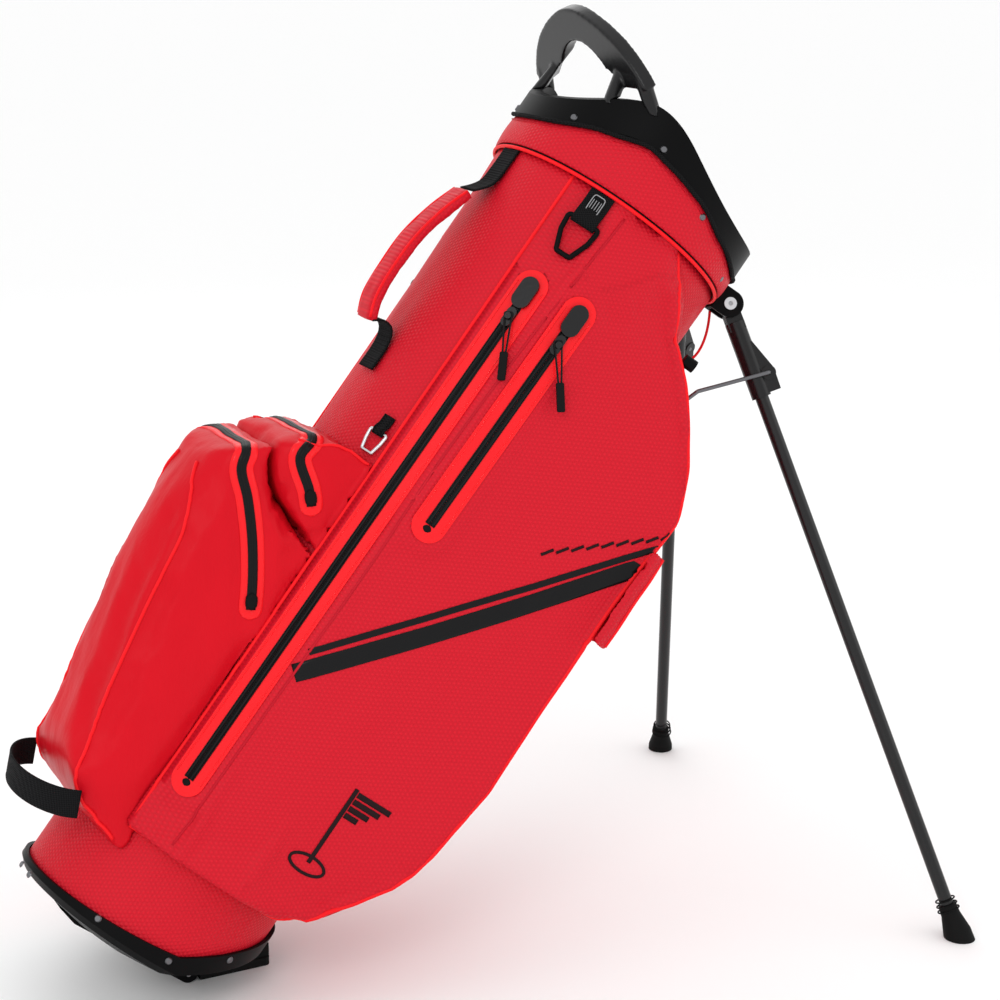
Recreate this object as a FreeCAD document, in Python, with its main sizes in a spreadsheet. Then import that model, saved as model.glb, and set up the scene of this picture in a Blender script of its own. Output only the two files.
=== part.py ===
import FreeCAD, Part
import math
import os
import Sketcher
from FreeCAD import Placement, Rotation, Vector

# A golf stand bag, drawn upright in its own frame and leaned over onto its legs at the end.
# Upright frame: X points to the legs, Y across the bag, Z up the bag, Z = 0 under the base.
# Everything is in millimetres.

os.makedirs("parts", exist_ok=True)
doc = FreeCAD.newDocument("golf_stand_bag")

DIMENSIONS = [
    ("lean_angle", 39.0, "lean of the bag from upright when it stands on its legs"),
    ("ground_edge", 69.8, "distance from the bag axis to the front edge of the flat base"),
    ("tube_bottom_radius", 111.4, "outside of the body tube at the base"),
    ("tube_top_radius", 121.5, "outside of the body tube at the collar"),
    ("tube_wall", 3.0, "fabric and stiffener of the body tube"),
    ("tube_top", 800.0, "height of the collar seam"),
    ("tray_radius", 116.0, "outside of the moulded base tray"),
    ("tray_wall", 3.5, "wall of the moulded base tray"),
    ("ramp_slope", 0.47, "rise of the ramped side of the base, per unit"),
    ("keel_width", 60.0, "width of the keel under the tray"),
    ("foot_length", 80.0, "length of the hinged foot plate"),
    ("foot_pin_height", 9.0, "height of the foot hinge above both soles"),
    ("foot_pin_radius", 3.0, "hinge pin of the foot"),
    ("running_gap", 0.06, "radial clearance of a pin in its bore"),
    ("ring_inner_radius", 119.0, "mouth of the bag"),
    ("ring_outer_radius", 129.0, "outside of the moulded top ring"),
    ("cover_outer_radius", 127.4, "outside of the fabric collar"),
    ("pivot_forward", 135.0, "leg pivot, out from the bag axis"),
    ("pivot_side", 45.0, "leg pivot, either side of the middle"),
    ("pivot_height", 808.5, "leg pivot, height"),
    ("splay_angle", 26.2, "angle between each leg's swing and straight forward"),
    ("spread_angle", 54.6, "angle each leg swings out from the bag"),
    ("leg_tube_radius", 6.5, "leg tube, outside"),
    ("leg_tube_wall", 1.0, "leg tube wall"),
    ("sleeve_radius", 9.5, "moulded sleeve at the top of a leg"),
    ("lug_drop", 74.0, "arm lug below the leg pivot"),
    ("lug_offset", 13.0, "arm lug outside the leg axis"),
    ("wire_radius", 2.0, "spring wire of the arms"),
    ("arm_side", 12.0, "arm wire beside the leg axis"),
    ("rod_forward", 126.5, "push rod, out from the bag axis"),
    ("rod_radius", 2.5, "push rod"),
    ("runner_height", 600.0, "arm pegs in the runner, legs out"),
    ("peg_side", 17.5, "arm pegs, either side of the middle"),
    ("rod_bottom", 58.3, "bottom end of the push rod, legs out"),
    ("side_pocket_turn", 21.6, "angle of the side pocket's outer face"),
    ("front_width", 152.0, "width of the ball pocket where it meets the bag"),
    ("front_taper", 12.5, "angle the sides of the ball pocket close in by"),
    ("webbing_width", 28.0, "carry handle webbing"),
    ("grip_width", 33.0, "padded carry grip"),
]

sheet = doc.addObject("Spreadsheet::Sheet", "Dimensions")
for row, (alias, value, note) in enumerate(DIMENSIONS, start=1):
    sheet.set("A%d" % row, note)
    sheet.set("B%d" % row, str(value))
    sheet.setAlias("B%d" % row, alias)
doc.recompute()


def size(alias):
    """The number behind one name in the sheet."""
    return float(sheet.get(alias))


LEAN = size("lean_angle")
GROUND_EDGE = size("ground_edge")
FOOT_PIN_HEIGHT = size("foot_pin_height")
PIVOT = Vector(size("pivot_forward"), -size("pivot_side"), size("pivot_height"))
SPLAY = size("splay_angle")
SPREAD = size("spread_angle")
TUBE_TOP = size("tube_top")
NEAR, FAR = -1, 1
WIDE = 400.0

# The foot hinge sits the same height above the flat base and above the ground facet.
FOOT_PIN = Vector(GROUND_EDGE - FOOT_PIN_HEIGHT * math.tan(math.radians(LEAN / 2)), 0, FOOT_PIN_HEIGHT)

# The row origin is the middle of the foot's sole, on the ground.
SOLE_MIDDLE = 45.0
ORIGIN = Vector(GROUND_EDGE + SOLE_MIDDLE * math.cos(math.radians(LEAN)), 0,
                SOLE_MIDDLE * math.sin(math.radians(LEAN)))
LEAN_TURN = Rotation(Vector(0, 1, 0), LEAN)
STANDING = Placement(LEAN_TURN.multVec(ORIGIN * -1), LEAN_TURN)

pieces = []


def keep(thing, label, place=None):
    """Name a finished piece and stand it up with the rest of the bag."""
    thing.Label = label
    frame = STANDING.multiply(place) if place else STANDING
    thing.Placement = frame.multiply(thing.Placement)
    pieces.append(thing)
    return thing


# ---------------------------------------------------------------- sketch and body helpers

def new_body(name):
    return doc.addObject("PartDesign::Body", name)


def origin_plane(body, role):
    for feature in body.Origin.OriginFeatures:
        if feature.Role == role:
            return feature


def new_sketch(body, role, lift=0.0):
    sketch = body.newObject("Sketcher::SketchObject", body.Name + "_sketch")
    sketch.AttachmentSupport = [(origin_plane(body, role), "")]
    sketch.MapMode = "FlatFace"
    sketch.AttachmentOffset = Placement(Vector(0, 0, lift), Rotation())
    return sketch


def flat(point):
    return Vector(point[0], point[1], 0)


def draw(sketch, steps):
    """Draw a closed outline. A step is a point, or ("arc", via, end), or ("curve", via, ..., end)."""
    start = steps[0]
    here = start
    for step in steps[1:] + [start]:
        if step[0] == "arc":
            sketch.addGeometry(Part.Arc(flat(here), flat(step[1]), flat(step[2])))
            here = step[2]
        elif step[0] == "curve":
            curve = Part.BSplineCurve()
            curve.interpolate([flat(here)] + [flat(point) for point in step[1:]])
            sketch.addGeometry(curve)
            here = step[-1]
        else:
            if math.dist(here, step) > 1e-6:
                sketch.addGeometry(Part.LineSegment(flat(here), flat(step)))
            here = step


def pad(body, steps, role, length, lift=0.0, middle=False, expression=None):
    sketch = new_sketch(body, role, lift)
    draw(sketch, steps)
    feature = body.newObject("PartDesign::Pad", body.Name + "_pad")
    feature.Profile = sketch
    feature.Length = length
    if expression:
        feature.setExpression("Length", expression)
    if middle:
        feature.SideType = "Symmetric"
    doc.recompute()
    return feature


def cut_through(body, steps, role):
    """Cut an outline right through the body, both ways from its plane."""
    sketch = new_sketch(body, role)
    draw(sketch, steps)
    before = body.Shape.Volume
    feature = body.newObject("PartDesign::Pocket", body.Name + "_cut")
    feature.Profile = sketch
    feature.Length = WIDE * 2
    feature.SideType = "Symmetric"
    doc.recompute()
    assert body.Shape.Volume < before, body.Name + ": the cut took nothing away"
    return feature


def spin(body, steps):
    """Turn an outline of (radius, height) points round the bag axis."""
    sketch = new_sketch(body, "XZ_Plane")
    draw(sketch, steps)
    feature = body.newObject("PartDesign::Revolution", body.Name + "_turned")
    feature.Profile = sketch
    feature.ReferenceAxis = (sketch, ["V_Axis"])
    feature.Angle = 360
    doc.recompute()
    return feature


def turned(name, steps):
    body = new_body(name)
    spin(body, steps)
    return body


def slab(name, steps, length, role="XZ_Plane", lift=0.0, middle=True, expression=None):
    body = new_body(name)
    pad(body, steps, role, length, lift, middle, expression)
    return body


def box(low, high, place=None):
    thing = doc.addObject("Part::Box", "box")
    thing.Length = high[0] - low[0]
    thing.Width = high[1] - low[1]
    thing.Height = high[2] - low[2]
    spot = Placement(Vector(*low), Rotation())
    thing.Placement = place.multiply(spot) if place else spot
    return thing


def rod(start, end, radius, expression=None):
    """A round bar from one point to another."""
    start = Vector(*start)
    end = Vector(*end)
    thing = doc.addObject("Part::Cylinder", "bar")
    thing.Radius = radius
    if expression:
        thing.setExpression("Radius", expression)
    thing.Height = (end - start).Length
    thing.Placement = Placement(start, Rotation(Vector(0, 0, 1), end - start))
    return thing


def cut(base, tool, name="cut"):
    thing = doc.addObject("Part::Cut", name)
    thing.Base = base
    thing.Tool = tool
    doc.recompute()
    return thing


def fuse(things, name="fused"):
    thing = doc.addObject("Part::MultiFuse", name)
    thing.Shapes = things
    doc.recompute()
    return thing


def group(things, name="group"):
    thing = doc.addObject("Part::Compound", name)
    thing.Links = things
    doc.recompute()
    return thing


def common(first, second, name="common"):
    thing = doc.addObject("Part::MultiCommon", name)
    thing.Shapes = [first, second]
    doc.recompute()
    return thing


def filleted(body, radius, chosen):
    """Round the edges of a body that the chosen rule picks."""
    last = body.Tip
    names = ["Edge%d" % (i + 1) for i, edge in enumerate(last.Shape.Edges) if chosen(edge)]
    feature = body.newObject("PartDesign::Fillet", body.Name + "_round")
    feature.Base = (last, names)
    feature.Radius = radius
    doc.recompute()
    return feature


def bent_edges(points, bend, closed=False):
    """Straight runs joined by arcs of one bend radius."""
    points = [Vector(*point) for point in points]
    count = len(points)
    corners = range(count) if closed else range(1, count - 1)
    trims = {}
    for i in corners:
        to_last = (points[i - 1] - points[i]).normalize()
        to_next = (points[(i + 1) % count] - points[i]).normalize()
        half = to_last.getAngle(to_next) / 2
        reach = bend / math.tan(half)
        middle = (to_last + to_next).normalize()
        centre = points[i] + middle * (bend / math.sin(half))
        trims[i] = (points[i] + to_last * reach, centre - middle * bend, points[i] + to_next * reach)
    edges = []
    runs = count if closed else count - 1
    for i in range(runs):
        j = (i + 1) % count
        start = trims[i][2] if i in trims else points[i]
        end = trims[j][0] if j in trims else points[j]
        edges.append(Part.LineSegment(start, end).toShape())
        if j in trims:
            edges.append(Part.Arc(*trims[j]).toShape())
    return edges


def wire_rod(name, points, radius, bend, closed=False):
    """A round bar bent through the points. No sketch plane holds its path, so it is a plain shape."""
    edges = bent_edges(points, bend, closed)
    path = Part.Wire(edges)
    first = edges[0]
    start = first.Vertexes[0].Point
    heading = first.Vertexes[1].Point - start
    ring = Part.Wire(Part.Circle(start, heading, radius).toShape())
    solid = path.makePipeShell([ring], True, False)
    thing = doc.addObject("Part::Feature", name)
    thing.Shape = solid
    return thing


def tube_radius(height):
    """Outside radius of the body tube at a height."""
    foot = size("tube_bottom_radius")
    return foot + (size("tube_top_radius") - foot) * (height - 20.0) / (TUBE_TOP - 20.0)


def around(angle, radius, height):
    """A frame on the bag's surface: X outwards, Y round the bag, Z up. Angle runs from the legs."""
    turn = math.radians(angle)
    spot = Vector(radius * math.cos(turn), radius * math.sin(turn), height)
    return Placement(spot, Rotation(Vector(0, 0, 1), angle))


def tube_blank(extra=0.0):
    """The solid outside of the body tube, to cut neighbours against."""
    foot = tube_radius(0) + extra
    head = tube_radius(1000) + extra
    return turned("tube_blank", [(0, 0), (foot, 0), (head, 1000), (0, 1000)])


def ramp(forward):
    """Height of the ramped underside of the tray."""
    return 19.0 + size("ramp_slope") * (forward - 5.0)


# ---------------------------------------------------------------- base

def tray_blank(name, radius, lift):
    floor = 4.0 + lift
    body = turned(name, [(0, floor), (radius - 46, floor), (radius - 6, floor + 10),
                         (radius, floor + 16), (radius, 110), (0, 110)])
    rise = lift * 1.1
    cut_through(body, [(-36, -10), (150, -10), (150, ramp(150) + rise), (-36, ramp(-36) + rise)],
                "XZ_Plane")
    return body


def keel():
    """Keel under the tray, with two cheeks that carry the foot hinge."""
    pin_x = FOOT_PIN.x
    pin_z = FOOT_PIN.z
    lean = math.radians(LEAN)
    side = math.radians(-25.0)
    body = slab("keel", [
        (-80, 6), (-60, 0), (pin_x, 0),
        ("arc", (pin_x + pin_z * math.cos(side), pin_z + pin_z * math.sin(side)),
         (pin_x + pin_z * math.cos(lean), pin_z + pin_z * math.sin(lean))),
        (50, ramp(50) + 1.5), (-28, 5.5),
    ], size("keel_width"), expression="Dimensions.keel_width")
    slot = box((pin_x - 10, -18.4, -5), (pin_x + 14, 18.4, pin_z + 11))
    hole = rod((pin_x, -WIDE, pin_z), (pin_x, WIDE, pin_z), size("foot_pin_radius"),
               "Dimensions.foot_pin_radius")
    return cut(cut(body, slot), hole)


def base_tray():
    wall = size("tray_wall")
    outer = tray_blank("tray_outer", size("tray_radius"), 0.0)
    inner = tray_blank("tray_inner", size("tray_radius") - wall, wall)
    shell = cut(outer, inner)
    above = slab("tray_rim_cut", [(-140, 23.2), (0, 35), (140, 35 + 140 * size("ramp_slope")),
                                  (140, 150), (-140, 150)], WIDE)
    keep(fuse([cut(shell, above), cut(keel(), tray_blank("tray_hollow", 112.5, wall))]), "base_tray")


def heads_on(label, places, radius, depth):
    """Rivet heads standing on a round wall: (angle, wall radius, height) each, both sides."""
    heads = []
    for angle, wall, height in places:
        for side in (NEAR, FAR):
            head = doc.addObject("Part::Cone", "head")
            head.Radius1 = radius
            head.Radius2 = radius * 0.7
            head.Height = depth
            turn = Rotation(Vector(0, 1, 0), 90)
            head.Placement = around(side * angle, wall, height).multiply(Placement(Vector(), turn))
            heads.append(head)
    keep(group(heads), label)


def foot_frame():
    """Frame of the hinged foot: X along the sole, Z away from the ground, origin on its pin."""
    return Placement(FOOT_PIN, Rotation(Vector(0, 1, 0), -LEAN))


def base_foot():
    """The hinged plate that lies on the ground and lifts the push rod."""
    height = FOOT_PIN_HEIGHT
    length = size("foot_length")
    plate = slab("foot_plate", [(10.8, -height), (length, -height), (length, -height + 8),
                                (10.8, -1)], size("keel_width"),
                 expression="Dimensions.keel_width")
    filleted(plate, 6.0, lambda edge: edge.Length < 10 and abs(edge.CenterOfMass.x - length) < 1)
    web = box((0, -18, -height), (12, 18, -1))
    knuckle = rod((0, -18, 0), (0, 18, 0), height - 0.3)
    toes = [box((length - 14, side * 21 - 7, -2), (length - 1, side * 21 + 7, 12)) for side in (NEAR, FAR)]
    bore = rod((0, -WIDE, 0), (0, WIDE, 0), size("foot_pin_radius") + size("running_gap"),
               "Dimensions.foot_pin_radius + Dimensions.running_gap")
    keep(cut(fuse([plate, web, knuckle] + toes), bore), "base_foot", foot_frame())


def foot_pin():
    keep(rod((FOOT_PIN.x, -30, FOOT_PIN.z), (FOOT_PIN.x, 30, FOOT_PIN.z), size("foot_pin_radius"),
             "Dimensions.foot_pin_radius"), "foot_pin")


# ---------------------------------------------------------------- tube and what is inside it

def bag_tube():
    wall = size("tube_wall")
    low = 10.0
    body = turned("tube", [(tube_radius(low), low), (tube_radius(TUBE_TOP), TUBE_TOP),
                           (tube_radius(TUBE_TOP) - wall, TUBE_TOP), (tube_radius(low) - wall, low)])
    cut_through(body, [(-140, -10), (150, -10), (150, ramp(150) + 4.6), (7.5, 24.2), (-140, 24.2)],
                "XZ_Plane")
    keep(body, "bag_tube")


def stay_rods():
    """Three stiffening stays that hold the top ring off the base."""
    stays = []
    inset = size("tube_wall") + 2.6
    for angle, low in ((-70, 45), (70, 45), (180, 30)):
        start = around(angle, tube_radius(low) - inset, low).Base
        end = around(angle, tube_radius(798) - inset, 798).Base
        stays.append(rod(start, end, 2.0))
    keep(group(stays), "stay_rods")


def dividers():
    inner = size("ring_inner_radius")
    low = 805.0
    high = 825.0
    bars = fuse([box((-inner, -4, low), (inner, 4, high)), box((-4, -inner, low), (4, inner, high))])
    round_edge = rod((0, 0, low - 5), (0, 0, high + 5), inner)
    keep(common(bars, round_edge), "divider_cross")
    reach = 105.0
    foot = 78.0
    panels = fuse([box((-reach, -0.7, foot), (reach, 0.7, low)), box((-0.7, -reach, foot), (0.7, reach, low))])
    keep(panels, "divider_panels")


# ---------------------------------------------------------------- top ring, collar and lift handle

LOWER_LINE = [(-130, 829), (-99, 844), (-65, 854), (-43, 850), (-4, 843), (41, 830), (91, 821), (134, 829)]
UPPER_LINE = [(-131, 851), (-118, 861), (-83, 887), (-24, 870), (47, 849), (90, 849), (134, 860)]


def top_ring():
    inner = size("ring_inner_radius")
    middle = 124.0
    outer = size("ring_outer_radius")
    liner = turned("ring_liner", [(inner, TUBE_TOP), (middle, TUBE_TOP), (middle, 920), (inner, 920)])
    lip = turned("ring_lip", [(middle - 1, TUBE_TOP), (outer, TUBE_TOP), (outer, 920), (middle - 1, 920)])
    cut_through(lip, [LOWER_LINE[0], tuple(["curve"] + LOWER_LINE[1:]), (134, 780), (-130, 780)],
                "XZ_Plane")
    whole = fuse([liner, lip])
    above = slab("ring_top_cut", [UPPER_LINE[0], tuple(["curve"] + UPPER_LINE[1:]), (134, 950),
                                  (-131, 950)], WIDE)
    return keep(cut(whole, above), "top_ring")


def collar_cover():
    outer = size("cover_outer_radius")
    body = turned("cover", [(124, 801.2), (outer - 1.4, 801.2), (outer, 870), (124, 870)])
    lowered = [(forward, height - 0.2) for forward, height in LOWER_LINE]
    cut_through(body, [lowered[0], tuple(["curve"] + lowered[1:]), (134, 900), (-130, 900)], "XZ_Plane")
    keep(body, "collar_cover")


def collar_piping():
    ring = doc.addObject("Part::Torus", "piping")
    ring.Radius1 = 124.2
    ring.Radius2 = 1.7
    keep(ring, "collar_piping", Placement(Vector(0, 0, 798.1), Rotation()))


def lift_handle():
    """The moulded bail that leans out over the ball pocket, on two struts each side."""
    place = Placement(Vector(-84, 0, 889), Rotation(Vector(0, 1, 0), -149))
    crown = slab("bail", [
        (12, -103), ("curve", (50, -76), (73, -40), (84, 0), (73, 40), (50, 76), (12, 103)),
        (12, 47), ("curve", (39, 32), (53, 0), (39, -32), (12, -47)),
    ], 13.0, role="XY_Plane")
    crown.Placement = place
    struts = []
    for side in (NEAR, FAR):
        outer_top = place.multVec(Vector(20, side * 92, 0))
        inner_top = place.multVec(Vector(24, side * 58, 0))
        struts.append(rod(outer_top, (-69, side * 100, 876), 7.0))
        struts.append(rod(inner_top, (-102, side * 70, 866), 7.0))
    mouth = rod((0, 0, 700), (0, 0, 1000), size("ring_inner_radius"))
    keep(cut(cut(fuse([crown] + struts), ring_blank()), mouth), "lift_handle")


def ring_blank():
    """The top ring's own solid, to trim the handle feet against."""
    inner = size("ring_inner_radius")
    outer = size("ring_outer_radius")
    body = turned("ring_blank", [(inner, TUBE_TOP), (outer, TUBE_TOP), (outer, 920), (inner, 920)])
    cut_through(body, [UPPER_LINE[0], tuple(["curve"] + UPPER_LINE[1:]), (134, 950), (-131, 950)],
                "XZ_Plane")
    return body


# ---------------------------------------------------------------- legs

def leg_frame(side, spread):
    """Frame of a leg: Z up the leg, X out of the bag, origin on its pivot."""
    pivot = Vector(PIVOT.x, side * abs(PIVOT.y), PIVOT.z)
    return Placement(pivot, Rotation(Vector(0, 0, 1), side * SPLAY).multiply(Rotation(Vector(0, 1, 0), -spread)))


def leg_length():
    """Pivot to ground along the leg when the bag stands on its legs."""
    pivot = STANDING.multVec(PIVOT)
    up = LEAN_TURN.multiply(leg_frame(NEAR, SPREAD).Rotation).multVec(Vector(0, 0, 1))
    return pivot.z / up.z


LEG_LENGTH = leg_length()
PIN_RADIUS = 3.5


def leg_bracket():
    """Clevis for each leg, and the bar that joins them across the back of the ring."""
    parts = [box((120, -38, 799), (134, 38, 818))]
    holes = []
    for side in (NEAR, FAR):
        place = leg_frame(side, 0)
        parts.append(box((-20, -11, -13), (-11.8, 11, 13), place))
        for low in (-11, 7):
            parts.append(box((-16, low, -13), (0, low + 4, 13), place))
            parts.append(rod(place.multVec(Vector(0, low, 0)), place.multVec(Vector(0, low + 4, 0)), 13))
        holes.append(rod(place.multVec(Vector(0, -40, 0)), place.multVec(Vector(0, 40, 0)), PIN_RADIUS))
    inside = rod((0, 0, 700), (0, 0, 900), size("cover_outer_radius") + 0.1)
    room = [box((-11.8, -7, -30), (40, 7, 30), leg_frame(side, 0)) for side in (NEAR, FAR)]
    keep(cut(fuse(parts), fuse([inside] + room + holes)), "leg_bracket")


def leg_pins():
    """Hollow rivets the legs turn on."""
    pins = []
    for side in (NEAR, FAR):
        place = leg_frame(side, 0)
        shank = rod(place.multVec(Vector(0, -12.6, 0)), place.multVec(Vector(0, 12.6, 0)), PIN_RADIUS)
        heads = []
        for low in (-12.6, 11):
            heads.append(rod(place.multVec(Vector(0, low, 0)), place.multVec(Vector(0, low + 1.6, 0)), 6.0))
        bore = rod(place.multVec(Vector(0, -20, 0)), place.multVec(Vector(0, 20, 0)), 2.0)
        pins.append(cut(fuse([shank] + heads), bore))
    keep(group(pins), "leg_pins")


def leg(side, tag):
    place = leg_frame(side, SPREAD)
    tube = size("leg_tube_radius")
    drop = size("lug_drop")
    out = size("lug_offset")
    sleeve_end = drop + 20

    knuckle = rod((0, -6.5, 0), (0, 6.5, 0), 10.0)
    neck = box((-8, -6.5, -26), (8, 6.5, 0))
    barrel = rod((0, 0, -sleeve_end), (0, 0, -18), size("sleeve_radius"), "Dimensions.sleeve_radius")
    lug = rod((out, -8, -drop), (out, 8, -drop), 7.0)
    ramp_up = slab("lug_ramp_" + tag, [(4, -drop + 34), (8, -drop + 34), (out + 6.4, -drop + 3),
                                       (out + 6, -sleeve_end + 2), (4, -sleeve_end + 2)], 14.0)
    solid = fuse([knuckle, neck, barrel, lug, ramp_up])
    bores = fuse([
        rod((0, -20, 0), (0, 20, 0), PIN_RADIUS + size("running_gap")),
        rod((out, -20, -drop), (out, 20, -drop), size("wire_radius") + size("running_gap"),
            "Dimensions.wire_radius + Dimensions.running_gap"),
        rod((0, 0, -sleeve_end - 5), (0, 0, -30), tube, "Dimensions.leg_tube_radius"),
    ])
    keep(cut(solid, bores), "leg_sleeve_" + tag, place)

    tube_end = LEG_LENGTH - 13
    skin = rod((0, 0, -tube_end), (0, 0, -30), tube, "Dimensions.leg_tube_radius")
    hollow = rod((0, 0, -tube_end - 1), (0, 0, -29), tube - size("leg_tube_wall"),
                 "Dimensions.leg_tube_radius - Dimensions.leg_tube_wall")
    keep(cut(skin, hollow), "leg_tube_" + tag, place)

    top = LEG_LENGTH - 34
    boot = turned("boot_" + tag, [(0, -top), (8.6, -top), (9.2, -top - 10), (13.6, -LEG_LENGTH + 6),
                                  (14.2, -LEG_LENGTH - 20), (0, -LEG_LENGTH - 20)])
    socket = rod((0, 0, -tube_end), (0, 0, -top + 1), tube, "Dimensions.leg_tube_radius")
    up = STANDING.multiply(place).Rotation.inverted().multVec(Vector(0, 0, 1))
    ground = Placement(Vector(0, 0, -LEG_LENGTH), Rotation(Vector(0, 0, 1), up))
    below = box((-60, -60, -60), (60, 60, 0), ground)
    keep(cut(boot, fuse([socket, below])), "leg_foot_" + tag, place)


# ---------------------------------------------------------------- push rod and arms

def swing_frame(side):
    """Frame of the plane a leg swings in: X out of the bag, Y across that plane, Z up the bag."""
    return Placement(Vector(), Rotation(Vector(0, 0, 1), side * SPLAY))


def arm_points(side):
    """Lug, bend and peg of an arm in the bag's frame, with the legs out."""
    swing = swing_frame(side)
    back = swing.inverse()
    peg = back.multVec(Vector(size("rod_forward"), side * size("peg_side"), size("runner_height")))
    lug = back.multVec(leg_frame(side, SPREAD).multVec(
        Vector(size("lug_offset"), side * size("arm_side"), -size("lug_drop"))))
    run = Vector(peg.x - lug.x, 0, peg.z - lug.z).normalize()
    inward = Vector(run.z, 0, -run.x)
    bend = lug + run * 70.0 + inward * 17.5
    return swing, lug, bend, peg


def travel():
    """How far the runner slides down the bag as the legs fold in."""
    back = swing_frame(NEAR).inverse()
    lug_local = Vector(size("lug_offset"), 0, -size("lug_drop"))
    out = back.multVec(leg_frame(NEAR, SPREAD).multVec(lug_local))
    home = back.multVec(leg_frame(NEAR, 0).multVec(lug_local))
    peg = back.multVec(Vector(size("rod_forward"), -size("peg_side"), size("runner_height")))
    reach = math.hypot(out.x - peg.x, out.z - peg.z)
    folded = home.z - math.sqrt(reach ** 2 - (home.x - peg.x) ** 2)
    angle_out = math.degrees(math.asin((out.x - peg.x) / reach))
    angle_home = math.degrees(math.asin((home.x - peg.x) / reach))
    return peg.z - folded, SPREAD + angle_out - angle_home


def arm(side, tag):
    swing, lug, bend, peg = arm_points(side)
    across = Vector(0, -side, 0)
    points = [
        lug + across * (size("arm_side") + 8.0),
        lug,
        bend,
        peg + across * -7.5,
        peg + across * 5.0,
    ]
    wire = wire_rod("arm_wire_" + tag, points, size("wire_radius"), 4.0)
    keep(wire, "actuator_arm_" + tag, swing)


def push_rod():
    forward = size("rod_forward")
    keep(rod((forward, 0, size("rod_bottom")), (forward, 0, size("runner_height") + 6),
             size("rod_radius"), "Dimensions.rod_radius"), "push_rod")


def rod_runner():
    """The carrier at the top of the rod. Each arm's end sits in an open window in its side plate."""
    forward = size("rod_forward")
    high = size("runner_height")
    block = box((forward - 4.5, -7, high - 14), (forward + 4.5, 7, high + 6))
    back = box((forward - 5.2, -19, high - 14), (forward - 2.9, 19, high + 6))
    parts = [block, back]
    windows = []
    for side in (NEAR, FAR):
        low = min(side * 15.5, side * 19)
        parts.append(box((forward - 5.2, low, high - 16), (forward + 11, low + 3.5, high + 6)))
        windows.append(box((forward - 2.9, low - 1, high - 12), (forward + 8, low + 4.5, high + 2.8)))
    hole = rod((forward, 0, 0), (forward, 0, 700), size("rod_radius"), "Dimensions.rod_radius")
    keep(cut(fuse(parts), fuse(windows + [hole])), "rod_runner")


def rod_guides():
    forward = size("rod_forward")
    blocks = []
    for low in (112.0, 496.0):
        hole = rod((forward, 0, 0), (forward, 0, 700), size("rod_radius") + size("running_gap"),
                   "Dimensions.rod_radius + Dimensions.running_gap")
        blocks.append(cut(cut(box((100, -10, low), (133, 10, low + 14)), tube_blank()), hole))
    keep(group(blocks), "rod_guides")


def spine_cover():
    """Fabric sleeve over the push rod on the leg side of the bag."""
    outer = box((100, -14, 73), (136.5, 14, 511))
    inner = box((90, -11.5, 60), (134, 11.5, 520))
    tray = rod((0, 0, 0), (0, 0, 93), size("tray_radius"), "Dimensions.tray_radius")
    keep(cut(outer, fuse([inner, tube_blank(), tray])), "spine_cover")


# ---------------------------------------------------------------- side pockets

SEAM = Vector(-95, 74, 0)
POCKET_TOP = 705.0


def edge_frame(side):
    """Frame of the line the pocket's free edge moves along as the pocket swells: X along it, Z up."""
    return Placement(Vector(SEAM.x, side * SEAM.y, 0), Rotation(Vector(0, 0, 1), side * size("side_pocket_turn")))


def knee(side, angle, swell):
    """A corner of the pocket's outer face, standing off the tube."""
    turn = math.radians(angle)
    return Vector(math.cos(turn), side * math.sin(turn), 0) * (122.0 + swell)


def facet_frame(side, facet):
    """Frame on one flat of the pocket's outer face: X along it, Z up, outwards is away from the bag."""
    seam = Vector(SEAM.x, side * SEAM.y, 0)
    knees = [seam, knee(side, 117, 6.0), knee(side, 88, 14.0)]
    run = knees[facet + 1] - knees[facet]
    return Placement(knees[facet], Rotation(Vector(0, 0, 1), math.degrees(math.atan2(run.y, run.x))))


# The pocket's free edge: height, distance along the edge line, and how full the pocket is there.
POCKET_EDGE = [(106, 153, 1.0), (122, 182, 1.0), (136, 193, 1.0), (185, 234, 1.0), (225, 250, 1.0),
               (302, 262, 1.0), (463, 262, 1.0), (564, 267, 1.0), (598, 269, 1.0), (646, 242, 1.0),
               (POCKET_TOP, 195, 1.0), (731, 168, 0.75), (775, 136, 0.2), (800, 117, 0.0)]


def side_pocket(side, tag):
    """A wedge whose outer face is three flats, whose free edge swells and tapers along the bag."""
    place = edge_frame(side)
    body = new_body("pocket_" + tag)
    hug = around(side * 27, tube_radius(400) - 6, 0).Base
    core = Vector(-10, side * 30, 0)
    seam = place.Base
    sections = []
    for height, reach, full in POCKET_EDGE:
        first = knee(side, 117, 6.0 * full)
        second = knee(side, 88, 14.0 * full)
        corner = place.multVec(Vector(reach, 0, 0))
        edge = corner + (second - corner).normalize() * 6.0
        soft = corner + (hug - corner).normalize() * 6.0
        sketch = new_sketch(body, "XY_Plane", height)
        draw(sketch, [(spot.x, spot.y) for spot in (seam, first, second, edge, soft, hug, core)])
        sections.append(sketch)
    loft = body.newObject("PartDesign::AdditiveLoft", "pocket_loft_" + tag)
    loft.Profile = sections[0]
    loft.Sections = sections[1:]
    loft.Ruled = True
    doc.recompute()
    shaped = cut(body, tube_blank())
    keep(shaped, "side_pocket_" + tag)
    return body


def hip_pad(side, tag, pocket):
    """Padded strip sewn on the free edge of the pocket, where the bag rests on the hip."""
    corner = edge_frame(side).multVec(Vector(263, 0, 0))
    place = Placement(corner, Rotation(Vector(0, 0, 1), side * -19.8))
    low = min(side * 2, side * -66)
    block = box((-14, low, 462), (8, low + 68, 566), place)
    keep(cut(block, pocket), "hip_pad_" + tag)


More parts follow.
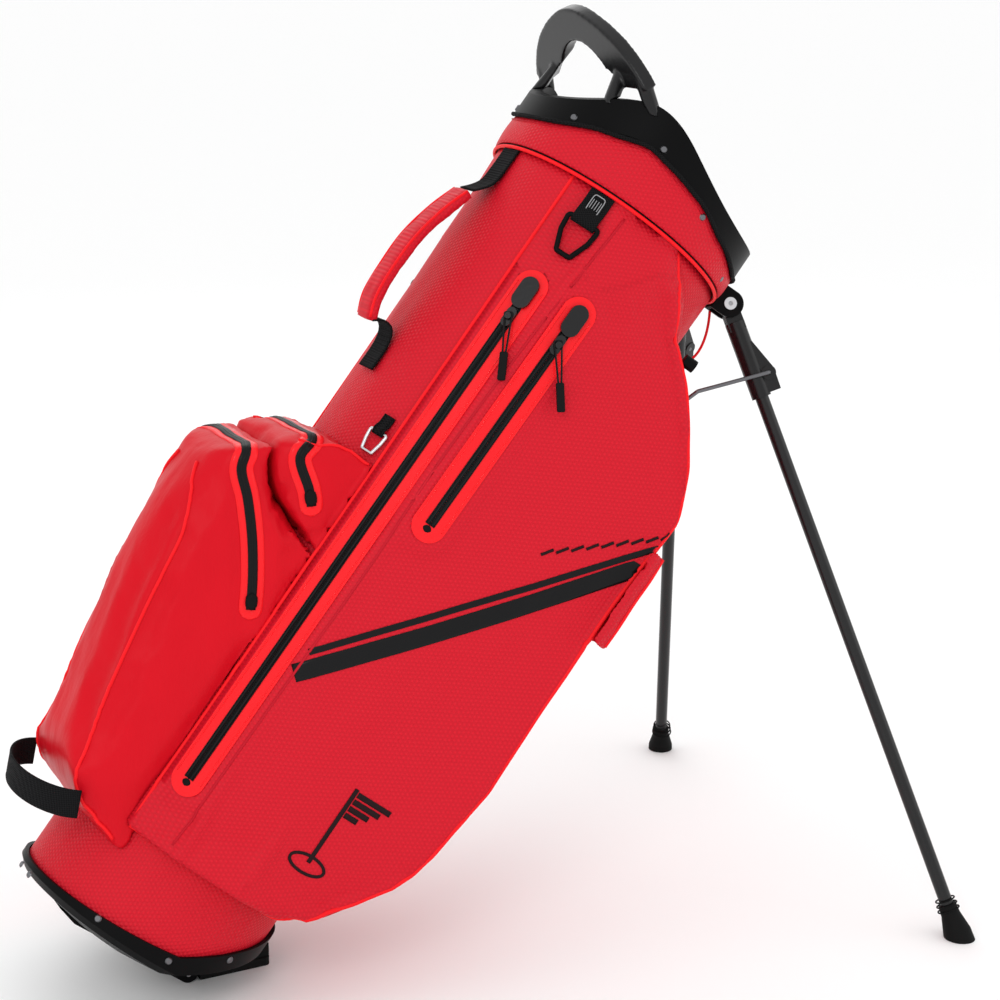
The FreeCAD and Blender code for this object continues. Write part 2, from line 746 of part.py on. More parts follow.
def capsule(start, end, half):
    """Outline of a slot with round ends between two points."""
    run = Vector(end[0] - start[0], end[1] - start[1], 0).normalize()
    across = Vector(-run.y, run.x, 0)

    def at(point, along, sideways):
        spot = Vector(point[0], point[1], 0) + run * along + across * sideways
        return (spot.x, spot.y)

    return [at(start, 0, half), ("arc", at(start, -half, 0), at(start, 0, -half)), at(end, 0, -half),
            ("arc", at(end, half, 0), at(end, 0, half))]


# Zip lines on the side pocket: the flat they lie on, then (along, up) of the bottom and top ends.
LONG_ZIP = (0, (23, 169), (27, 691))
SHORT_ZIP = (1, (18.4, 467), (22.4, 694))
BAND_THICK = 1.0
CHAIN_THICK = 1.2


def on_face(name, steps, side, lift, thick):
    """A flat piece standing off the pocket's outer face."""
    low = lift if side == NEAR else -lift - thick
    return slab(name, steps, thick, lift=low, middle=False)


SIDE_ZIPS = ((LONG_ZIP, NEAR, "long_near"), (SHORT_ZIP, NEAR, "short_near"), (LONG_ZIP, FAR, "long_far"))


def side_zips():
    """Welded bands on the side pockets, each with its coil chain down the middle."""
    bands = []
    chains = []
    for (facet, start, end), side, tag in SIDE_ZIPS:
        band = on_face("band_" + tag, capsule(start, end, 16.0), side, 0.0, BAND_THICK)
        chain = on_face("chain_" + tag, capsule(start, end, 4.8), side, BAND_THICK, CHAIN_THICK)
        band.Placement = facet_frame(side, facet)
        chain.Placement = facet_frame(side, facet)
        bands.append(band)
        chains.append(chain)
    keep(group(bands), "zip_bands")
    keep(group(chains), "zip_chains")


def zip_garages():
    """Moulded caps over the upper ends of the side zips."""
    caps = []
    lift = BAND_THICK + CHAIN_THICK
    for (facet, low_end, high_end), side, tag in SIDE_ZIPS:
        end = Vector(high_end[0], high_end[1], 0)
        back = end - (end - Vector(low_end[0], low_end[1], 0)).normalize() * 14
        cap = on_face("garage_" + tag, capsule((back.x, back.y), (end.x, end.y), 8.5), side, lift, 3.2)
        cap.Placement = facet_frame(side, facet)
        caps.append(cap)
    keep(group(caps), "zip_garages")


def zip_slider(zip_line, side, tag):
    """Slider parked under its garage, with the bridge its pull hangs from."""
    facet, low_end, high_end = zip_line
    start = Vector(low_end[0], low_end[1], 0)
    end = Vector(high_end[0], high_end[1], 0)
    spot = end + (start - end).normalize() * 33
    lift = BAND_THICK + CHAIN_THICK + 0.3
    plate = on_face("slider_" + tag, capsule((spot.x, spot.y - 5), (spot.x, spot.y + 5), 4.5), side, lift, 2.6)
    post = on_face("post_" + tag, capsule((spot.x, spot.y - 0.1), (spot.x, spot.y + 0.1), 1.5), side, lift + 2,
                   3.6)
    cap = on_face("post_cap_" + tag, capsule((spot.x, spot.y - 0.1), (spot.x, spot.y + 0.1), 3.0), side,
                  lift + 5.0, 1.2)
    keep(fuse([plate, post, cap]), "zip_slider_" + tag, facet_frame(side, facet))
    return spot, lift + 2.6 + 1.2


def zip_pull(zip_line, side, tag):
    """Cord loop round the slider's post with a moulded tab. It hangs straight down the face."""
    spot, lift = zip_slider(zip_line, side, tag)
    place = facet_frame(side, zip_line[0])
    outward = Vector(0, side, 0)
    turn = STANDING.multiply(place).Rotation.inverted()
    down = turn.multVec(Vector(0, 0, -1))
    down.y = 0
    down.normalize()
    across = Vector(-down.z, 0, down.x)
    hang = Vector(spot.x, 0, spot.y) + outward * lift
    strand = 0.9
    loop = [
        hang - down * 3.4 + across * 3.4,
        hang + down * 36 + across * 1.3,
        hang + down * 36 - across * 1.3,
        hang - down * 3.4 - across * 3.4,
    ]
    cord = wire_rod("cord_" + tag, [tuple(point) for point in loop], strand, 1.2, closed=True)
    tab_frame = Placement(hang + down * 33, Rotation(across, outward * -1, down))
    tab = box((-3.5, -1.6, 0), (3.5, 1.9, 26), tab_frame)
    keep(cut(cord, tab), "pull_cord_" + tag, place)
    tab_again = box((-3.5, -1.6, 0), (3.5, 1.9, 26), tab_frame)
    keep(group([tab_again]), "pull_tab_" + tag, place)
    print("pull", tag, STANDING.multiply(place).multVec(hang),
          STANDING.multiply(place).Rotation.multVec(outward))


# ---------------------------------------------------------------- ball pocket side

BALL_SIDE = [(-60, 84), (-99, 84), ("curve", (-135, 95), (-156, 109), (-165, 131)),
             ("curve", (-179, 186), (-194, 245), (-207, 310), (-217, 372), (-219, 400)),
             ("curve", (-216, 418), (-205, 430), (-194, 438), (-177, 456)),
             ("curve", (-171, 437), (-142, 412), (-99, 392)), (-60, 382)]
VALUABLES_SIDE = [(-60, 382.4), (-99, 392.4), ("curve", (-142, 412.4), (-170.6, 437.4), (-176.6, 456.4)),
                  ("curve", (-160, 466), (-147, 473), (-131, 485)), (-98, 486), (-60, 484)]


def front_frame(side):
    """Frame on a side of the ball pocket: X along it towards the legs, Z up, origin at the seam."""
    spot = Vector(SEAM.x, side * size("front_width") / 2, 0)
    return Placement(spot, Rotation(Vector(0, 0, 1), side * size("front_taper")))


def front_half(forward):
    """Half the width of the ball pocket at a distance from the bag axis."""
    return size("front_width") / 2 + math.tan(math.radians(size("front_taper"))) * (forward - SEAM.x)


def front_block(steps, label):
    """A side outline carried across the bag and narrowed to the pocket's plan."""
    side_view = slab(label + "_side", steps, WIDE)
    back = front_half(-60)
    shoulder = front_half(-200)
    plan = slab(label + "_plan", [(-60, -back), (-200, -shoulder),
                                  ("curve", (-213, -44), (-218.5, -27), (-220, 0), (-218.5, 27), (-213, 44),
                                   (-200, shoulder)),
                                  (-60, back)], 600, role="XY_Plane", middle=False)
    return common(side_view, plan)


def front_pocket(steps, label, neighbours):
    block = front_block(steps, label)
    keep(cut(block, fuse([tube_blank()] + neighbours)), label)
    return block


def curved_strip(points, half):
    """Outline of a strip of one width along an arc through three points."""
    first, via, last = [Vector(point[0], point[1], 0) for point in points]
    centre = Part.Arc(first, via, last).toShape().Curve.Center
    sides = []
    for offset in (half, -half):
        moved = []
        for point in (first, via, last):
            spoke = point - centre
            spot = centre + spoke.normalize() * ((point - centre).Length + offset)
            moved.append((spot.x, spot.y))
        sides.append(moved)
    outer, inner = sides
    return [outer[0], ("arc", outer[1], outer[2]), inner[2], ("arc", inner[1], inner[0])], centre


# Zips of the two front pockets: their line on the pocket's side, then the strip over its front.
BALL_ZIP = ((-96.3, 415), (-54, 371), (-14.3, 311))
BALL_CROSSING = [(-199, 434), (-190, 442), (-191.2, 443.2), (-200.2, 435.2)]
VALUABLES_ZIP = ((-59.4, 452), (-36, 433), (-20.5, 416))
VALUABLES_CROSSING = [(-151.5, 470.4), (-143.3, 475.8), (-144.2, 477), (-152.4, 471.6)]
FRONT_ZIP_THICK = 1.5


def front_zip(points, crossing, block, name):
    """A zip up one side of a front pocket, across its front and down the other side."""
    steps, centre = curved_strip(points, 4.8)
    parts = []
    for side in (NEAR, FAR):
        leg_strip = on_face(name + "_leg", steps, side, 0.0, FRONT_ZIP_THICK)
        leg_strip.Placement = front_frame(side)
        parts.append(leg_strip)
    over = slab(name + "_front", crossing, 2 * front_half(crossing[0][0]) - 2)
    parts.append(cut(over, block))
    keep(group(parts), "zip_" + name)
    front_slider(points, centre, name)


def front_slider(points, centre, name):
    """Slider with its puller hanging down the zip, on the far side of the pocket."""
    spokes = [Vector(point[0], point[1], 0) - centre for point in points]
    radius = spokes[0].Length
    start, end = [math.atan2(spoke.y, spoke.x) for spoke in (spokes[0], spokes[2])]
    way = math.copysign(1, end - start)
    park = start + way * 10.5 / radius
    spot = centre + Vector(math.cos(park), math.sin(park), 0) * radius
    along = Vector(-math.sin(park), math.cos(park), 0) * way
    lift = FRONT_ZIP_THICK + 0.3
    plate_ends = [(spot + along * reach) for reach in (-5, 5)]
    puller_ends = [(spot + along * reach) for reach in (0, 19)]
    plate = on_face("plate_" + name, capsule(plate_ends[0], plate_ends[1], 4.5), FAR, lift, 2.6)
    puller = on_face("puller_" + name, capsule(puller_ends[0], puller_ends[1], 3.2), FAR, lift + 2.4, 1.8)
    place = front_frame(FAR)
    keep(fuse([plate, puller]), "zip_slider_" + name, place)
    stand = STANDING.multiply(place)
    print("slider", name, stand.multVec(Vector(centre.x, 0, centre.y)),
          stand.Rotation.multVec(Vector(0, 1, 0)), "turn", -way,
          math.degrees(abs(end - start) - (10.5 + 24) / radius))


def strip(points, thick):
    """Outline of a strap seen edge on, bent smoothly through the points."""
    sides = ([], [])
    for i, point in enumerate(points):
        before = points[max(i - 1, 0)]
        after = points[min(i + 1, len(points) - 1)]
        run = Vector(after[0] - before[0], after[1] - before[1], 0).normalize()
        for k, offset in enumerate((thick / 2, -thick / 2)):
            sides[k].append((point[0] - run.y * offset, point[1] + run.x * offset))
    left, right = sides
    right = list(reversed(right))
    return [left[0], tuple(["curve"] + left[1:]), right[0], tuple(["curve"] + right[1:])]


def carry_handle():
    width = size("webbing_width")
    lower = slab("web_low", strip([(-121.2, 556), (-121.4, 582), (-127, 596), (-137, 598), (-147, 592)], 2.4),
                 width, expression="Dimensions.webbing_width")
    upper = slab("web_high", strip([(-138, 741), (-130, 750), (-124.6, 760), (-123.4, 776), (-123.2, 796)],
                                   2.4), width, expression="Dimensions.webbing_width")
    keep(group([lower, upper]), "carry_webbing")
    grip = slab("grip", strip([(-146, 590), (-154, 610), (-157, 640), (-156, 675), (-148, 709), (-138, 739)],
                              13.0), size("grip_width"), expression="Dimensions.grip_width")
    filleted(grip, 4.5, lambda edge: edge.Length > 100)
    ends = fuse([lower, upper])
    keep(cut(grip, ends), "carry_grip")


def lower_loop(block):
    """Grab strap across the front of the ball pocket, low down and drooping a little."""
    reach = 70.0
    out = -40.0
    thick = 2.4
    half = 13.0
    place = Placement(Vector(-142, 0, 100), Rotation(Vector(0, 1, 0), -26))
    band = slab("loop", [(0, -reach), ("arc", (out, 0), (0, reach)), (0, reach - thick),
                         ("arc", (out + thick, 0), (0, -reach + thick))], 2 * half, role="XY_Plane")
    band.Placement = place
    tabs = []
    for side in (NEAR, FAR):
        low = min(side * reach, side * (reach - 12))
        tabs.append(box((-0.5, low, -half + 2), (16, low + 12, half - 2), place))
    keep(fuse([band, cut(fuse(tabs), block)]), "lower_loop")


def ring_on_tab(angle, height, width, tall, bar, tab_width, tab_top, names, point, pocket):
    """A loop hanging from a webbing tab on the tube. Names are the ring's and the tab's."""
    skin = tube_radius(height)
    sag = (width / 2) ** 2 / (2 * skin)
    centre = skin + sag + bar + 0.5
    place = around(angle, centre, height)
    side = width / 2 - bar
    loop = [(0, -side, 0), (0, side, 0), (0, side * 0.9, -tall * 0.45), (0, side * point, -tall),
            (0, -side * point, -tall), (0, -side * 0.9, -tall * 0.45)]
    keep(wire_rod(names[0], loop, bar, bar * 1.2, closed=True), names[0], place)
    depth = bar + 1.8
    block = box((-depth, -tab_width / 2, -bar - 1.6), (depth, tab_width / 2, tab_top - height), place)
    bore_ends = [place.multVec(Vector(0, end, 0)) for end in (-30, 30)]
    bore = rod(bore_ends[0], bore_ends[1], bar + 0.3)
    keep(cut(cut(block, bore), fuse([tube_blank(), pocket])), names[1])
    print("ring", names[0], STANDING.multVec(place.Base),
          LEAN_TURN.multVec(place.Rotation.multVec(Vector(0, 1, 0))))


def elastic_cord():
    keep(wire_rod("elastic", [(131, -30, 796.5), (146, -30, 776), (147, -30, 742), (123.5, -25, 700)], 1.3, 14),
         "elastic_cord")


def edge_button(pocket):
    """Snap that holds the elastic at the pocket's edge."""
    place = edge_frame(NEAR)
    button = rod(place.multVec(Vector(178, 8, 722)), place.multVec(Vector(190, 8, 722)), 6.0)
    keep(cut(button, pocket), "edge_button")


def build():
    base_tray()
    heads_on("tray_rivets", [(174, 116, 16), (130, 116, 26), (94, 116, 28), (65, 116, 52)], 3.4, 1.4)
    base_foot()
    foot_pin()
    bag_tube()
    stay_rods()
    dividers()
    top_ring()
    collar_cover()
    collar_piping()
    heads_on("rim_rivets", [(155, 129, 842), (116, 129, 858), (86, 126.9, 833), (52, 126.4, 809)], 3.6, 1.6)
    lift_handle()
    leg_bracket()
    leg_pins()
    side_pockets = []
    for side, tag in ((NEAR, "near"), (FAR, "far")):
        leg(side, tag)
        arm(side, tag)
        pocket = side_pocket(side, tag)
        hip_pad(side, tag, pocket)
        side_pockets.append(pocket)
    push_rod()
    rod_runner()
    rod_guides()
    spine_cover()
    side_zips()
    for line, side, tag in SIDE_ZIPS:
        zip_pull(line, side, tag)
    zip_garages()
    ball_block = front_pocket(BALL_SIDE, "ball_pocket", side_pockets)
    valuables_block = front_pocket(VALUABLES_SIDE, "valuables_pocket", side_pockets)
    front_zip(BALL_ZIP, BALL_CROSSING, ball_block, "ball")
    front_zip(VALUABLES_ZIP, VALUABLES_CROSSING, valuables_block, "valuables")
    carry_handle()
    lower_loop(ball_block)
    ring_on_tab(-126, 765, 36, 34, 2.4, 24, 796, ("strap_ring", "strap_tab"), 0.45, side_pockets[0])
    ring_on_tab(-149, 511, 22, 20, 1.6, 12, 527, ("key_ring", "key_tab"), 0.6, side_pockets[0])
    elastic_cord()
    edge_button(side_pockets[0])


build()
doc.recompute()

print("runner travel, arm swing:", travel())
print("leg length:", LEG_LENGTH)
for piece in pieces:
    states = [state for state in piece.State if state in ("Invalid", "Error")]
    shape = piece.Shape
    if states or shape.isNull() or not shape.isValid():
        print("BAD", piece.Label, states, shape.isNull())
        continue
    shape.exportStep("parts/%s.step" % piece.Label)
    print(piece.Label, len(shape.Solids), round(shape.Volume / 1000, 1))
print(len(pieces), "pieces")
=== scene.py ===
import math

import bpy
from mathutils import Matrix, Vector, noise
from mathutils.bvhtree import BVHTree


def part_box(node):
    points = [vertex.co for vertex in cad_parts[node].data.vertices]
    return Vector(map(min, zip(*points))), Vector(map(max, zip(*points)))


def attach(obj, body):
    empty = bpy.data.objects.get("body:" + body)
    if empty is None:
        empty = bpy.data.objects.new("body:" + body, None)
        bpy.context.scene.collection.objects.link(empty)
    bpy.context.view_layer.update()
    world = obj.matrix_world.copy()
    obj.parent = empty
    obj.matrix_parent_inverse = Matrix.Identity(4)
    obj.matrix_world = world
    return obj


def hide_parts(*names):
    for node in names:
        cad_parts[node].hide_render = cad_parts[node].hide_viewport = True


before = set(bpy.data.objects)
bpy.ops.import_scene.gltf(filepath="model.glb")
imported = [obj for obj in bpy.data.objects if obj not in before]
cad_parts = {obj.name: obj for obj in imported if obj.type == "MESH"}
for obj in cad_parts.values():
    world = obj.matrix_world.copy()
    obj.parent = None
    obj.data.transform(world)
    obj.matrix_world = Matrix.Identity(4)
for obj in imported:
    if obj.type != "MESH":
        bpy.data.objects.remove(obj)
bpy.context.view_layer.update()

# The bag is described in its own upright frame, in millimetres: forward to the legs, side, height.
LEAN = math.radians(39.0)
SOLE_MIDDLE = 45.0
ORIGIN_FORWARD = 69.8 + SOLE_MIDDLE * math.cos(LEAN)
ORIGIN_HEIGHT = SOLE_MIDDLE * math.sin(LEAN)
NEAR, FAR = -1, 1
TUBE_TOP = 800.0
SEAM = (-95.0, 74.0)
SIDES = ((NEAR, "near"), (FAR, "far"))
TUBE_BOTTOM_RADIUS = 111.4
TUBE_FLARE = 10.1
TUBE_LOW = 20.0
CLOTH_FRAMES = 16
LOOK_AZIMUTH = math.radians(27)
LOOK_ELEVATION = math.radians(15)
LOOK_WAY = (0.4385, 0.8606, -0.2588)


def turn(forward, side, height):
    """A direction in the bag's frame, turned to the row frame."""
    return Vector((forward * math.cos(LEAN) + height * math.sin(LEAN), side,
                   -forward * math.sin(LEAN) + height * math.cos(LEAN)))


def bag(forward, side, height):
    """A point in the bag's frame, in the row frame in metres."""
    return turn(forward - ORIGIN_FORWARD, side, height - ORIGIN_HEIGHT) / 1000


def upright(point):
    """A point of the row frame in the bag's frame, in millimetres."""
    x, y, z = [value * 1000 for value in point]
    return Vector((x * math.cos(LEAN) - z * math.sin(LEAN) + ORIGIN_FORWARD, y,
                   x * math.sin(LEAN) + z * math.cos(LEAN) + ORIGIN_HEIGHT))


def tube_radius(height):
    """Outer radius of the cloth tube, which widens a little towards the mouth."""
    return TUBE_BOTTOM_RADIUS + TUBE_FLARE * (height - TUBE_LOW) / (TUBE_TOP - TUBE_LOW)


# ---------------------------------------------------------------- materials

RED = (0.60, 0.007, 0.020)
PUFF_RED = (0.62, 0.005, 0.014)
BRIGHT_RED = (0.88, 0.012, 0.018)
DEEP_RED = (0.50, 0.010, 0.022)
BLACK = (0.0028, 0.0028, 0.003)


class Tree:
    """Short way to write a material's nodes."""

    def __init__(self, name):
        self.material = bpy.data.materials.new(name)
        self.material.use_nodes = True
        self.nodes = self.material.node_tree.nodes
        self.links = self.material.node_tree.links
        self.shader = self.nodes["Principled BSDF"]

    def add(self, kind, **values):
        made = self.nodes.new("ShaderNode" + kind)
        for key, value in values.items():
            setattr(made, key, value)
        return made

    def math(self, operation, first, second=None):
        made = self.add("Math", operation=operation)
        for socket, value in zip(made.inputs, (first, second)):
            if value is None:
                continue
            if isinstance(value, (int, float)):
                socket.default_value = value
            else:
                self.links.new(value, socket)
        return made.outputs[0]

    def local(self, round_bag=False):
        """Bag coordinates in millimetres. On round parts the first one runs round the bag."""
        coords = self.add("TexCoord").outputs["Object"]
        turned = self.add("Mapping", vector_type="POINT")
        turned.inputs["Rotation"].default_value = (0, -LEAN, 0)
        turned.inputs["Scale"].default_value = (1000, 1000, 1000)
        self.links.new(coords, turned.inputs["Vector"])
        split = self.add("SeparateXYZ")
        self.links.new(turned.outputs[0], split.inputs[0])
        along, side, up = split.outputs
        along = self.math("ADD", along, ORIGIN_FORWARD)
        if round_bag:
            angle = self.math("ARCTAN2", side, along)
            return self.math("MULTIPLY", angle, 120.0), up
        return along, up

    def noise(self, scale, detail=3.0, stretch=(1, 1, 1)):
        coords = self.add("TexCoord").outputs["Object"]
        mapped = self.add("Mapping")
        mapped.inputs["Rotation"].default_value = (0, -LEAN, 0)
        mapped.inputs["Scale"].default_value = stretch
        self.links.new(coords, mapped.inputs["Vector"])
        made = self.add("TexNoise")
        made.inputs["Scale"].default_value = scale
        made.inputs["Detail"].default_value = detail
        self.links.new(mapped.outputs[0], made.inputs["Vector"])
        return made.outputs["Fac"]

    def waves(self, pair, period, angles):
        """Sum of ripples of one period across several directions."""
        total = None
        for angle in angles:
            a = math.radians(angle)
            first = self.math("MULTIPLY", pair[0], math.cos(a) * 2 * math.pi / period)
            second = self.math("MULTIPLY", pair[1], math.sin(a) * 2 * math.pi / period)
            wave = self.math("COSINE", self.math("ADD", first, second))
            total = wave if total is None else self.math("ADD", total, wave)
        return total

    def bump(self, height, distance, strength=1.0, under=None, bevel=None):
        made = self.add("Bump")
        made.inputs["Strength"].default_value = strength
        made.inputs["Distance"].default_value = distance
        self.links.new(height, made.inputs["Height"])
        if bevel:
            edge = self.add("Bevel", samples=4)
            edge.inputs["Radius"].default_value = bevel
            self.links.new(edge.outputs[0], made.inputs["Normal"])
        if under is not None:
            self.links.new(under, made.inputs["Normal"])
        return made.outputs[0]

    def tint(self, factor, dark, light):
        ramp = self.add("Mix", data_type="RGBA")
        ramp.inputs[6].default_value = (*dark, 1)
        ramp.inputs[7].default_value = (*light, 1)
        self.links.new(factor, ramp.inputs[0])
        self.links.new(ramp.outputs[2], self.shader.inputs["Base Color"])

    def finish(self, rough, normal, metal=0.0, coat=0.0, specular=0.3):
        self.shader.inputs["Roughness"].default_value = rough
        self.shader.inputs["Metallic"].default_value = metal
        self.shader.inputs["Specular IOR Level"].default_value = specular
        self.shader.inputs["Coat Weight"].default_value = coat
        self.links.new(normal, self.shader.inputs["Normal"])
        return self.material


def scaled(color, amount):
    return tuple(min(1.0, value * amount) for value in color)


def clamp01(tree, value, gain, offset=0.5):
    moved = tree.math("ADD", tree.math("MULTIPLY", value, gain), offset)
    made = tree.add("Clamp")
    tree.links.new(moved, made.inputs[0])
    return made.outputs[0]


def dobby(name, color, round_bag=False, period=3.6, rough=0.5):
    """Nylon with small raised hexagons."""
    tree = Tree(name)
    cells = tree.waves(tree.local(round_bag), period, (0, 60, 120))
    tree.tint(clamp01(tree, cells, 0.16, 0.55), scaled(color, 0.80), scaled(color, 1.10))
    folds = tree.bump(tree.noise(16, 3, (1.0, 1.0, 0.35)), 0.004, 0.35)
    return tree.finish(rough, tree.bump(cells, 0.00022, 0.55, folds), specular=0.15)


def smooth_nylon(name, color, rough=0.38):
    """Tightly woven shiny nylon that wrinkles."""
    tree = Tree(name)
    tree.tint(tree.noise(9, 4), scaled(color, 0.86), scaled(color, 1.06))
    folds = tree.bump(tree.noise(22, 4, (1.2, 1.2, 0.4)), 0.005, 0.45)
    weave = tree.waves(tree.local(), 1.1, (0, 90))
    return tree.finish(rough, tree.bump(weave, 0.00004, 0.4, folds), specular=0.08)


def tape(name, color, rough=0.25, coat=0.12):
    """Smooth welded film."""
    tree = Tree(name)
    tree.tint(tree.noise(30, 3), scaled(color, 0.92), scaled(color, 1.05))
    return tree.finish(rough, tree.bump(tree.noise(90, 2), 0.0006, 0.3), coat=coat, specular=0.1)


def webbing(name, color, period=1.8):
    tree = Tree(name)
    weave = tree.waves(tree.local(), period, (38, 128))
    tree.tint(clamp01(tree, weave, 0.25), scaled(color, 0.6), scaled(color, 1.7))
    return tree.finish(0.75, tree.bump(weave, 0.0003, 0.8), specular=0.05)


def plastic(name, color, rough=0.42, grain=420, bevel=0.0008, specular=0.06):
    tree = Tree(name)
    tree.tint(tree.noise(12, 5), scaled(color, 0.75), scaled(color, 1.4))
    return tree.finish(rough, tree.bump(tree.noise(grain, 2), 0.0003, 0.25, bevel=bevel), specular=specular)


def metal(name, color, rough=0.3, grain=300):
    tree = Tree(name)
    tree.tint(tree.noise(40, 4), scaled(color, 0.8), scaled(color, 1.1))
    normal = tree.bump(tree.noise(grain, 3), 0.0002, 0.2, bevel=0.0004)
    return tree.finish(rough, normal, metal=1.0)


def make_materials():
    return {
        "tube": dobby("tube_fabric", RED, round_bag=True),
        "panel": dobby("panel_fabric", RED),
        "nylon": smooth_nylon("pocket_nylon", PUFF_RED),
        "band": tape("zip_band_film", BRIGHT_RED),
        "piping": smooth_nylon("piping_cloth", BRIGHT_RED, 0.45),
        "seam": smooth_nylon("seam_cloth", DEEP_RED, 0.5),
        "print": tape("printed_black", (0.006, 0.006, 0.0065), 0.3, 0.08),
        "emblem": tape("emblem_black", (0.016, 0.006, 0.007), 0.5, 0.0),
        "lips": tape("zip_lips", (0.006, 0.006, 0.0065), 0.4, 0.03),
        "webbing": webbing("black_webbing", (0.008, 0.008, 0.0085)),
        "lining": webbing("lining_cloth", (0.014, 0.014, 0.015), 2.4),
        "plastic": plastic("moulded_black", BLACK),
        "gloss": plastic("gloss_black", (0.006, 0.006, 0.0065), 0.25, 200, specular=0.3),
        "rubber": plastic("rubber_black", (0.007, 0.007, 0.007), 0.6, 260),
        "anodised": plastic("anodised_tube", (0.006, 0.006, 0.0065), 0.25, 700, specular=0.35),
        "steel": metal("steel", (0.66, 0.66, 0.68)),
        "dark_steel": metal("dark_steel", (0.16, 0.16, 0.17), 0.35),
        "label": tape("label_grey", (0.30, 0.30, 0.31), 0.6, 0.0),
    }


PAINT = make_materials()


def paint(thing, name):
    """Gives a piece one named finish."""
    thing.data.materials.clear()
    thing.data.materials.append(PAINT[name])
    return thing


# ---------------------------------------------------------------- mesh helpers

def new_piece(name, points, faces, paint_name, body="bag", nodes=(), smooth=True):
    """A mesh that rides on a body and may stand for CAD nodes."""
    mesh = bpy.data.meshes.new(name)
    mesh.from_pydata([tuple(point) for point in points], [], faces)
    mesh.validate()
    mesh.update()
    thing = bpy.data.objects.new(name, mesh)
    bpy.context.scene.collection.objects.link(thing)
    for face in mesh.polygons:
        face.use_smooth = smooth
    paint(thing, paint_name)
    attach(thing, body)
    if nodes:
        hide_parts(*nodes)
    return thing


def recalculated(thing):
    """Faces all pointing outwards."""
    bpy.context.view_layer.objects.active = thing
    bpy.ops.object.select_all(action="DESELECT")
    thing.select_set(True)
    bpy.ops.object.mode_set(mode="EDIT")
    bpy.ops.mesh.select_all(action="SELECT")
    bpy.ops.mesh.normals_make_consistent(inside=False)
    bpy.ops.object.mode_set(mode="OBJECT")
    return thing


def apply_modifiers(thing):
    """Bakes the modifiers into the mesh."""
    bpy.context.view_layer.update()
    dg = bpy.context.evaluated_depsgraph_get()
    mesh = bpy.data.meshes.new_from_object(thing.evaluated_get(dg))
    thing.modifiers.clear()
    thing.data = mesh
    return thing


def loft(name, rings, paint_name, body="bag", nodes=(), closed=False, caps=True):
    """Skin over rings of points that all have the same count. Rings are closed loops."""
    count = len(rings[0])
    points = [point for ring in rings for point in ring]
    faces = []
    spans = len(rings) if closed else len(rings) - 1
    for i in range(spans):
        here = i * count
        there = ((i + 1) % len(rings)) * count
        for k in range(count):
            n = (k + 1) % count
            faces.append((here + k, here + n, there + n, there + k))
    if caps and not closed:
        faces.append(tuple(reversed(range(count))))
        faces.append(tuple(range((len(rings) - 1) * count, len(rings) * count)))
    return recalculated(new_piece(name, points, faces, paint_name, body, nodes))


def smooth_path(points, pitch):
    """Points evenly spaced along a smooth curve through the given ones, in their own unit."""
    points = [Vector(point) for point in points]
    fine = []
    for i in range(len(points) - 1):
        p0 = points[max(i - 1, 0)]
        p1 = points[i]
        p2 = points[i + 1]
        p3 = points[min(i + 2, len(points) - 1)]
        for k in range(16):
            t = k / 16
            fine.append(0.5 * (2 * p1 + (p2 - p0) * t + (2 * p0 - 5 * p1 + 4 * p2 - p3) * t * t
                               + (3 * p1 - 3 * p2 + p3 - p0) * t ** 3))
    fine.append(points[-1])
    lengths = [0.0]
    for a, b in zip(fine, fine[1:]):
        lengths.append(lengths[-1] + (b - a).length)
    steps = max(2, round(lengths[-1] / pitch))
    out = []
    j = 0
    for i in range(steps + 1):
        want = lengths[-1] * i / steps
        while j < len(fine) - 2 and lengths[j + 1] < want:
            j += 1
        span = max(lengths[j + 1] - lengths[j], 1e-9)
        out.append(fine[j].lerp(fine[j + 1], min(1.0, (want - lengths[j]) / span)))
    return out


def directions(path):
    """The way the path runs at each of its points."""
    out = []
    for i in range(len(path)):
        run = path[min(i + 1, len(path) - 1)] - path[max(i - 1, 0)]
        out.append(run.normalized())
    return out


def tube(name, path, radius, paint_name, body="bag", nodes=(), sides=8):
    """A round cord along a path in the row frame, in metres."""
    rings = []
    side = Vector((0.123, 0.456, 0.789))
    for point, run in zip(path, directions(path)):
        side = (side - run * side.dot(run)).normalized()
        across = run.cross(side)
        ring = []
        for k in range(sides):
            a = 2 * math.pi * k / sides
            ring.append(point + (side * math.cos(a) + across * math.sin(a)) * radius)
        rings.append(ring)
    return loft(name, rings, paint_name, body, nodes)


def strap(name, path, outwards, width, thick, paint_name, body="bag", nodes=()):
    """Flat webbing along a path: outwards gives the way its face looks at each point."""
    half = width / 2
    profile = ((-half, 0.35), (-half + thick * 0.6, 0.5), (-half * 0.8, 0.42), (0, 0.45),
               (half * 0.8, 0.42), (half - thick * 0.6, 0.5), (half, 0.35),
               (half, -0.35), (half - thick * 0.6, -0.5), (0, -0.45),
               (-half + thick * 0.6, -0.5), (-half, -0.35))
    rings = []
    for point, run, out in zip(path, directions(path), outwards):
        out = (out - run * out.dot(run)).normalized()
        across = run.cross(out)
        rings.append([point + across * a + out * b * thick for a, b in profile])
    return loft(name, rings, paint_name, body, nodes)


def surface_of(thing):
    bpy.context.view_layer.update()
    return BVHTree.FromObject(thing, bpy.context.evaluated_depsgraph_get())


def rounded_end(path, index, width):
    """How much of its width a strip keeps near a rounded end."""
    near = min((path[index] - path[0]).length, (path[index] - path[-1]).length)
    short = max(0.0, 1.0 - near / (width / 2))
    return max(0.12, math.sqrt(1.0 - short * short))


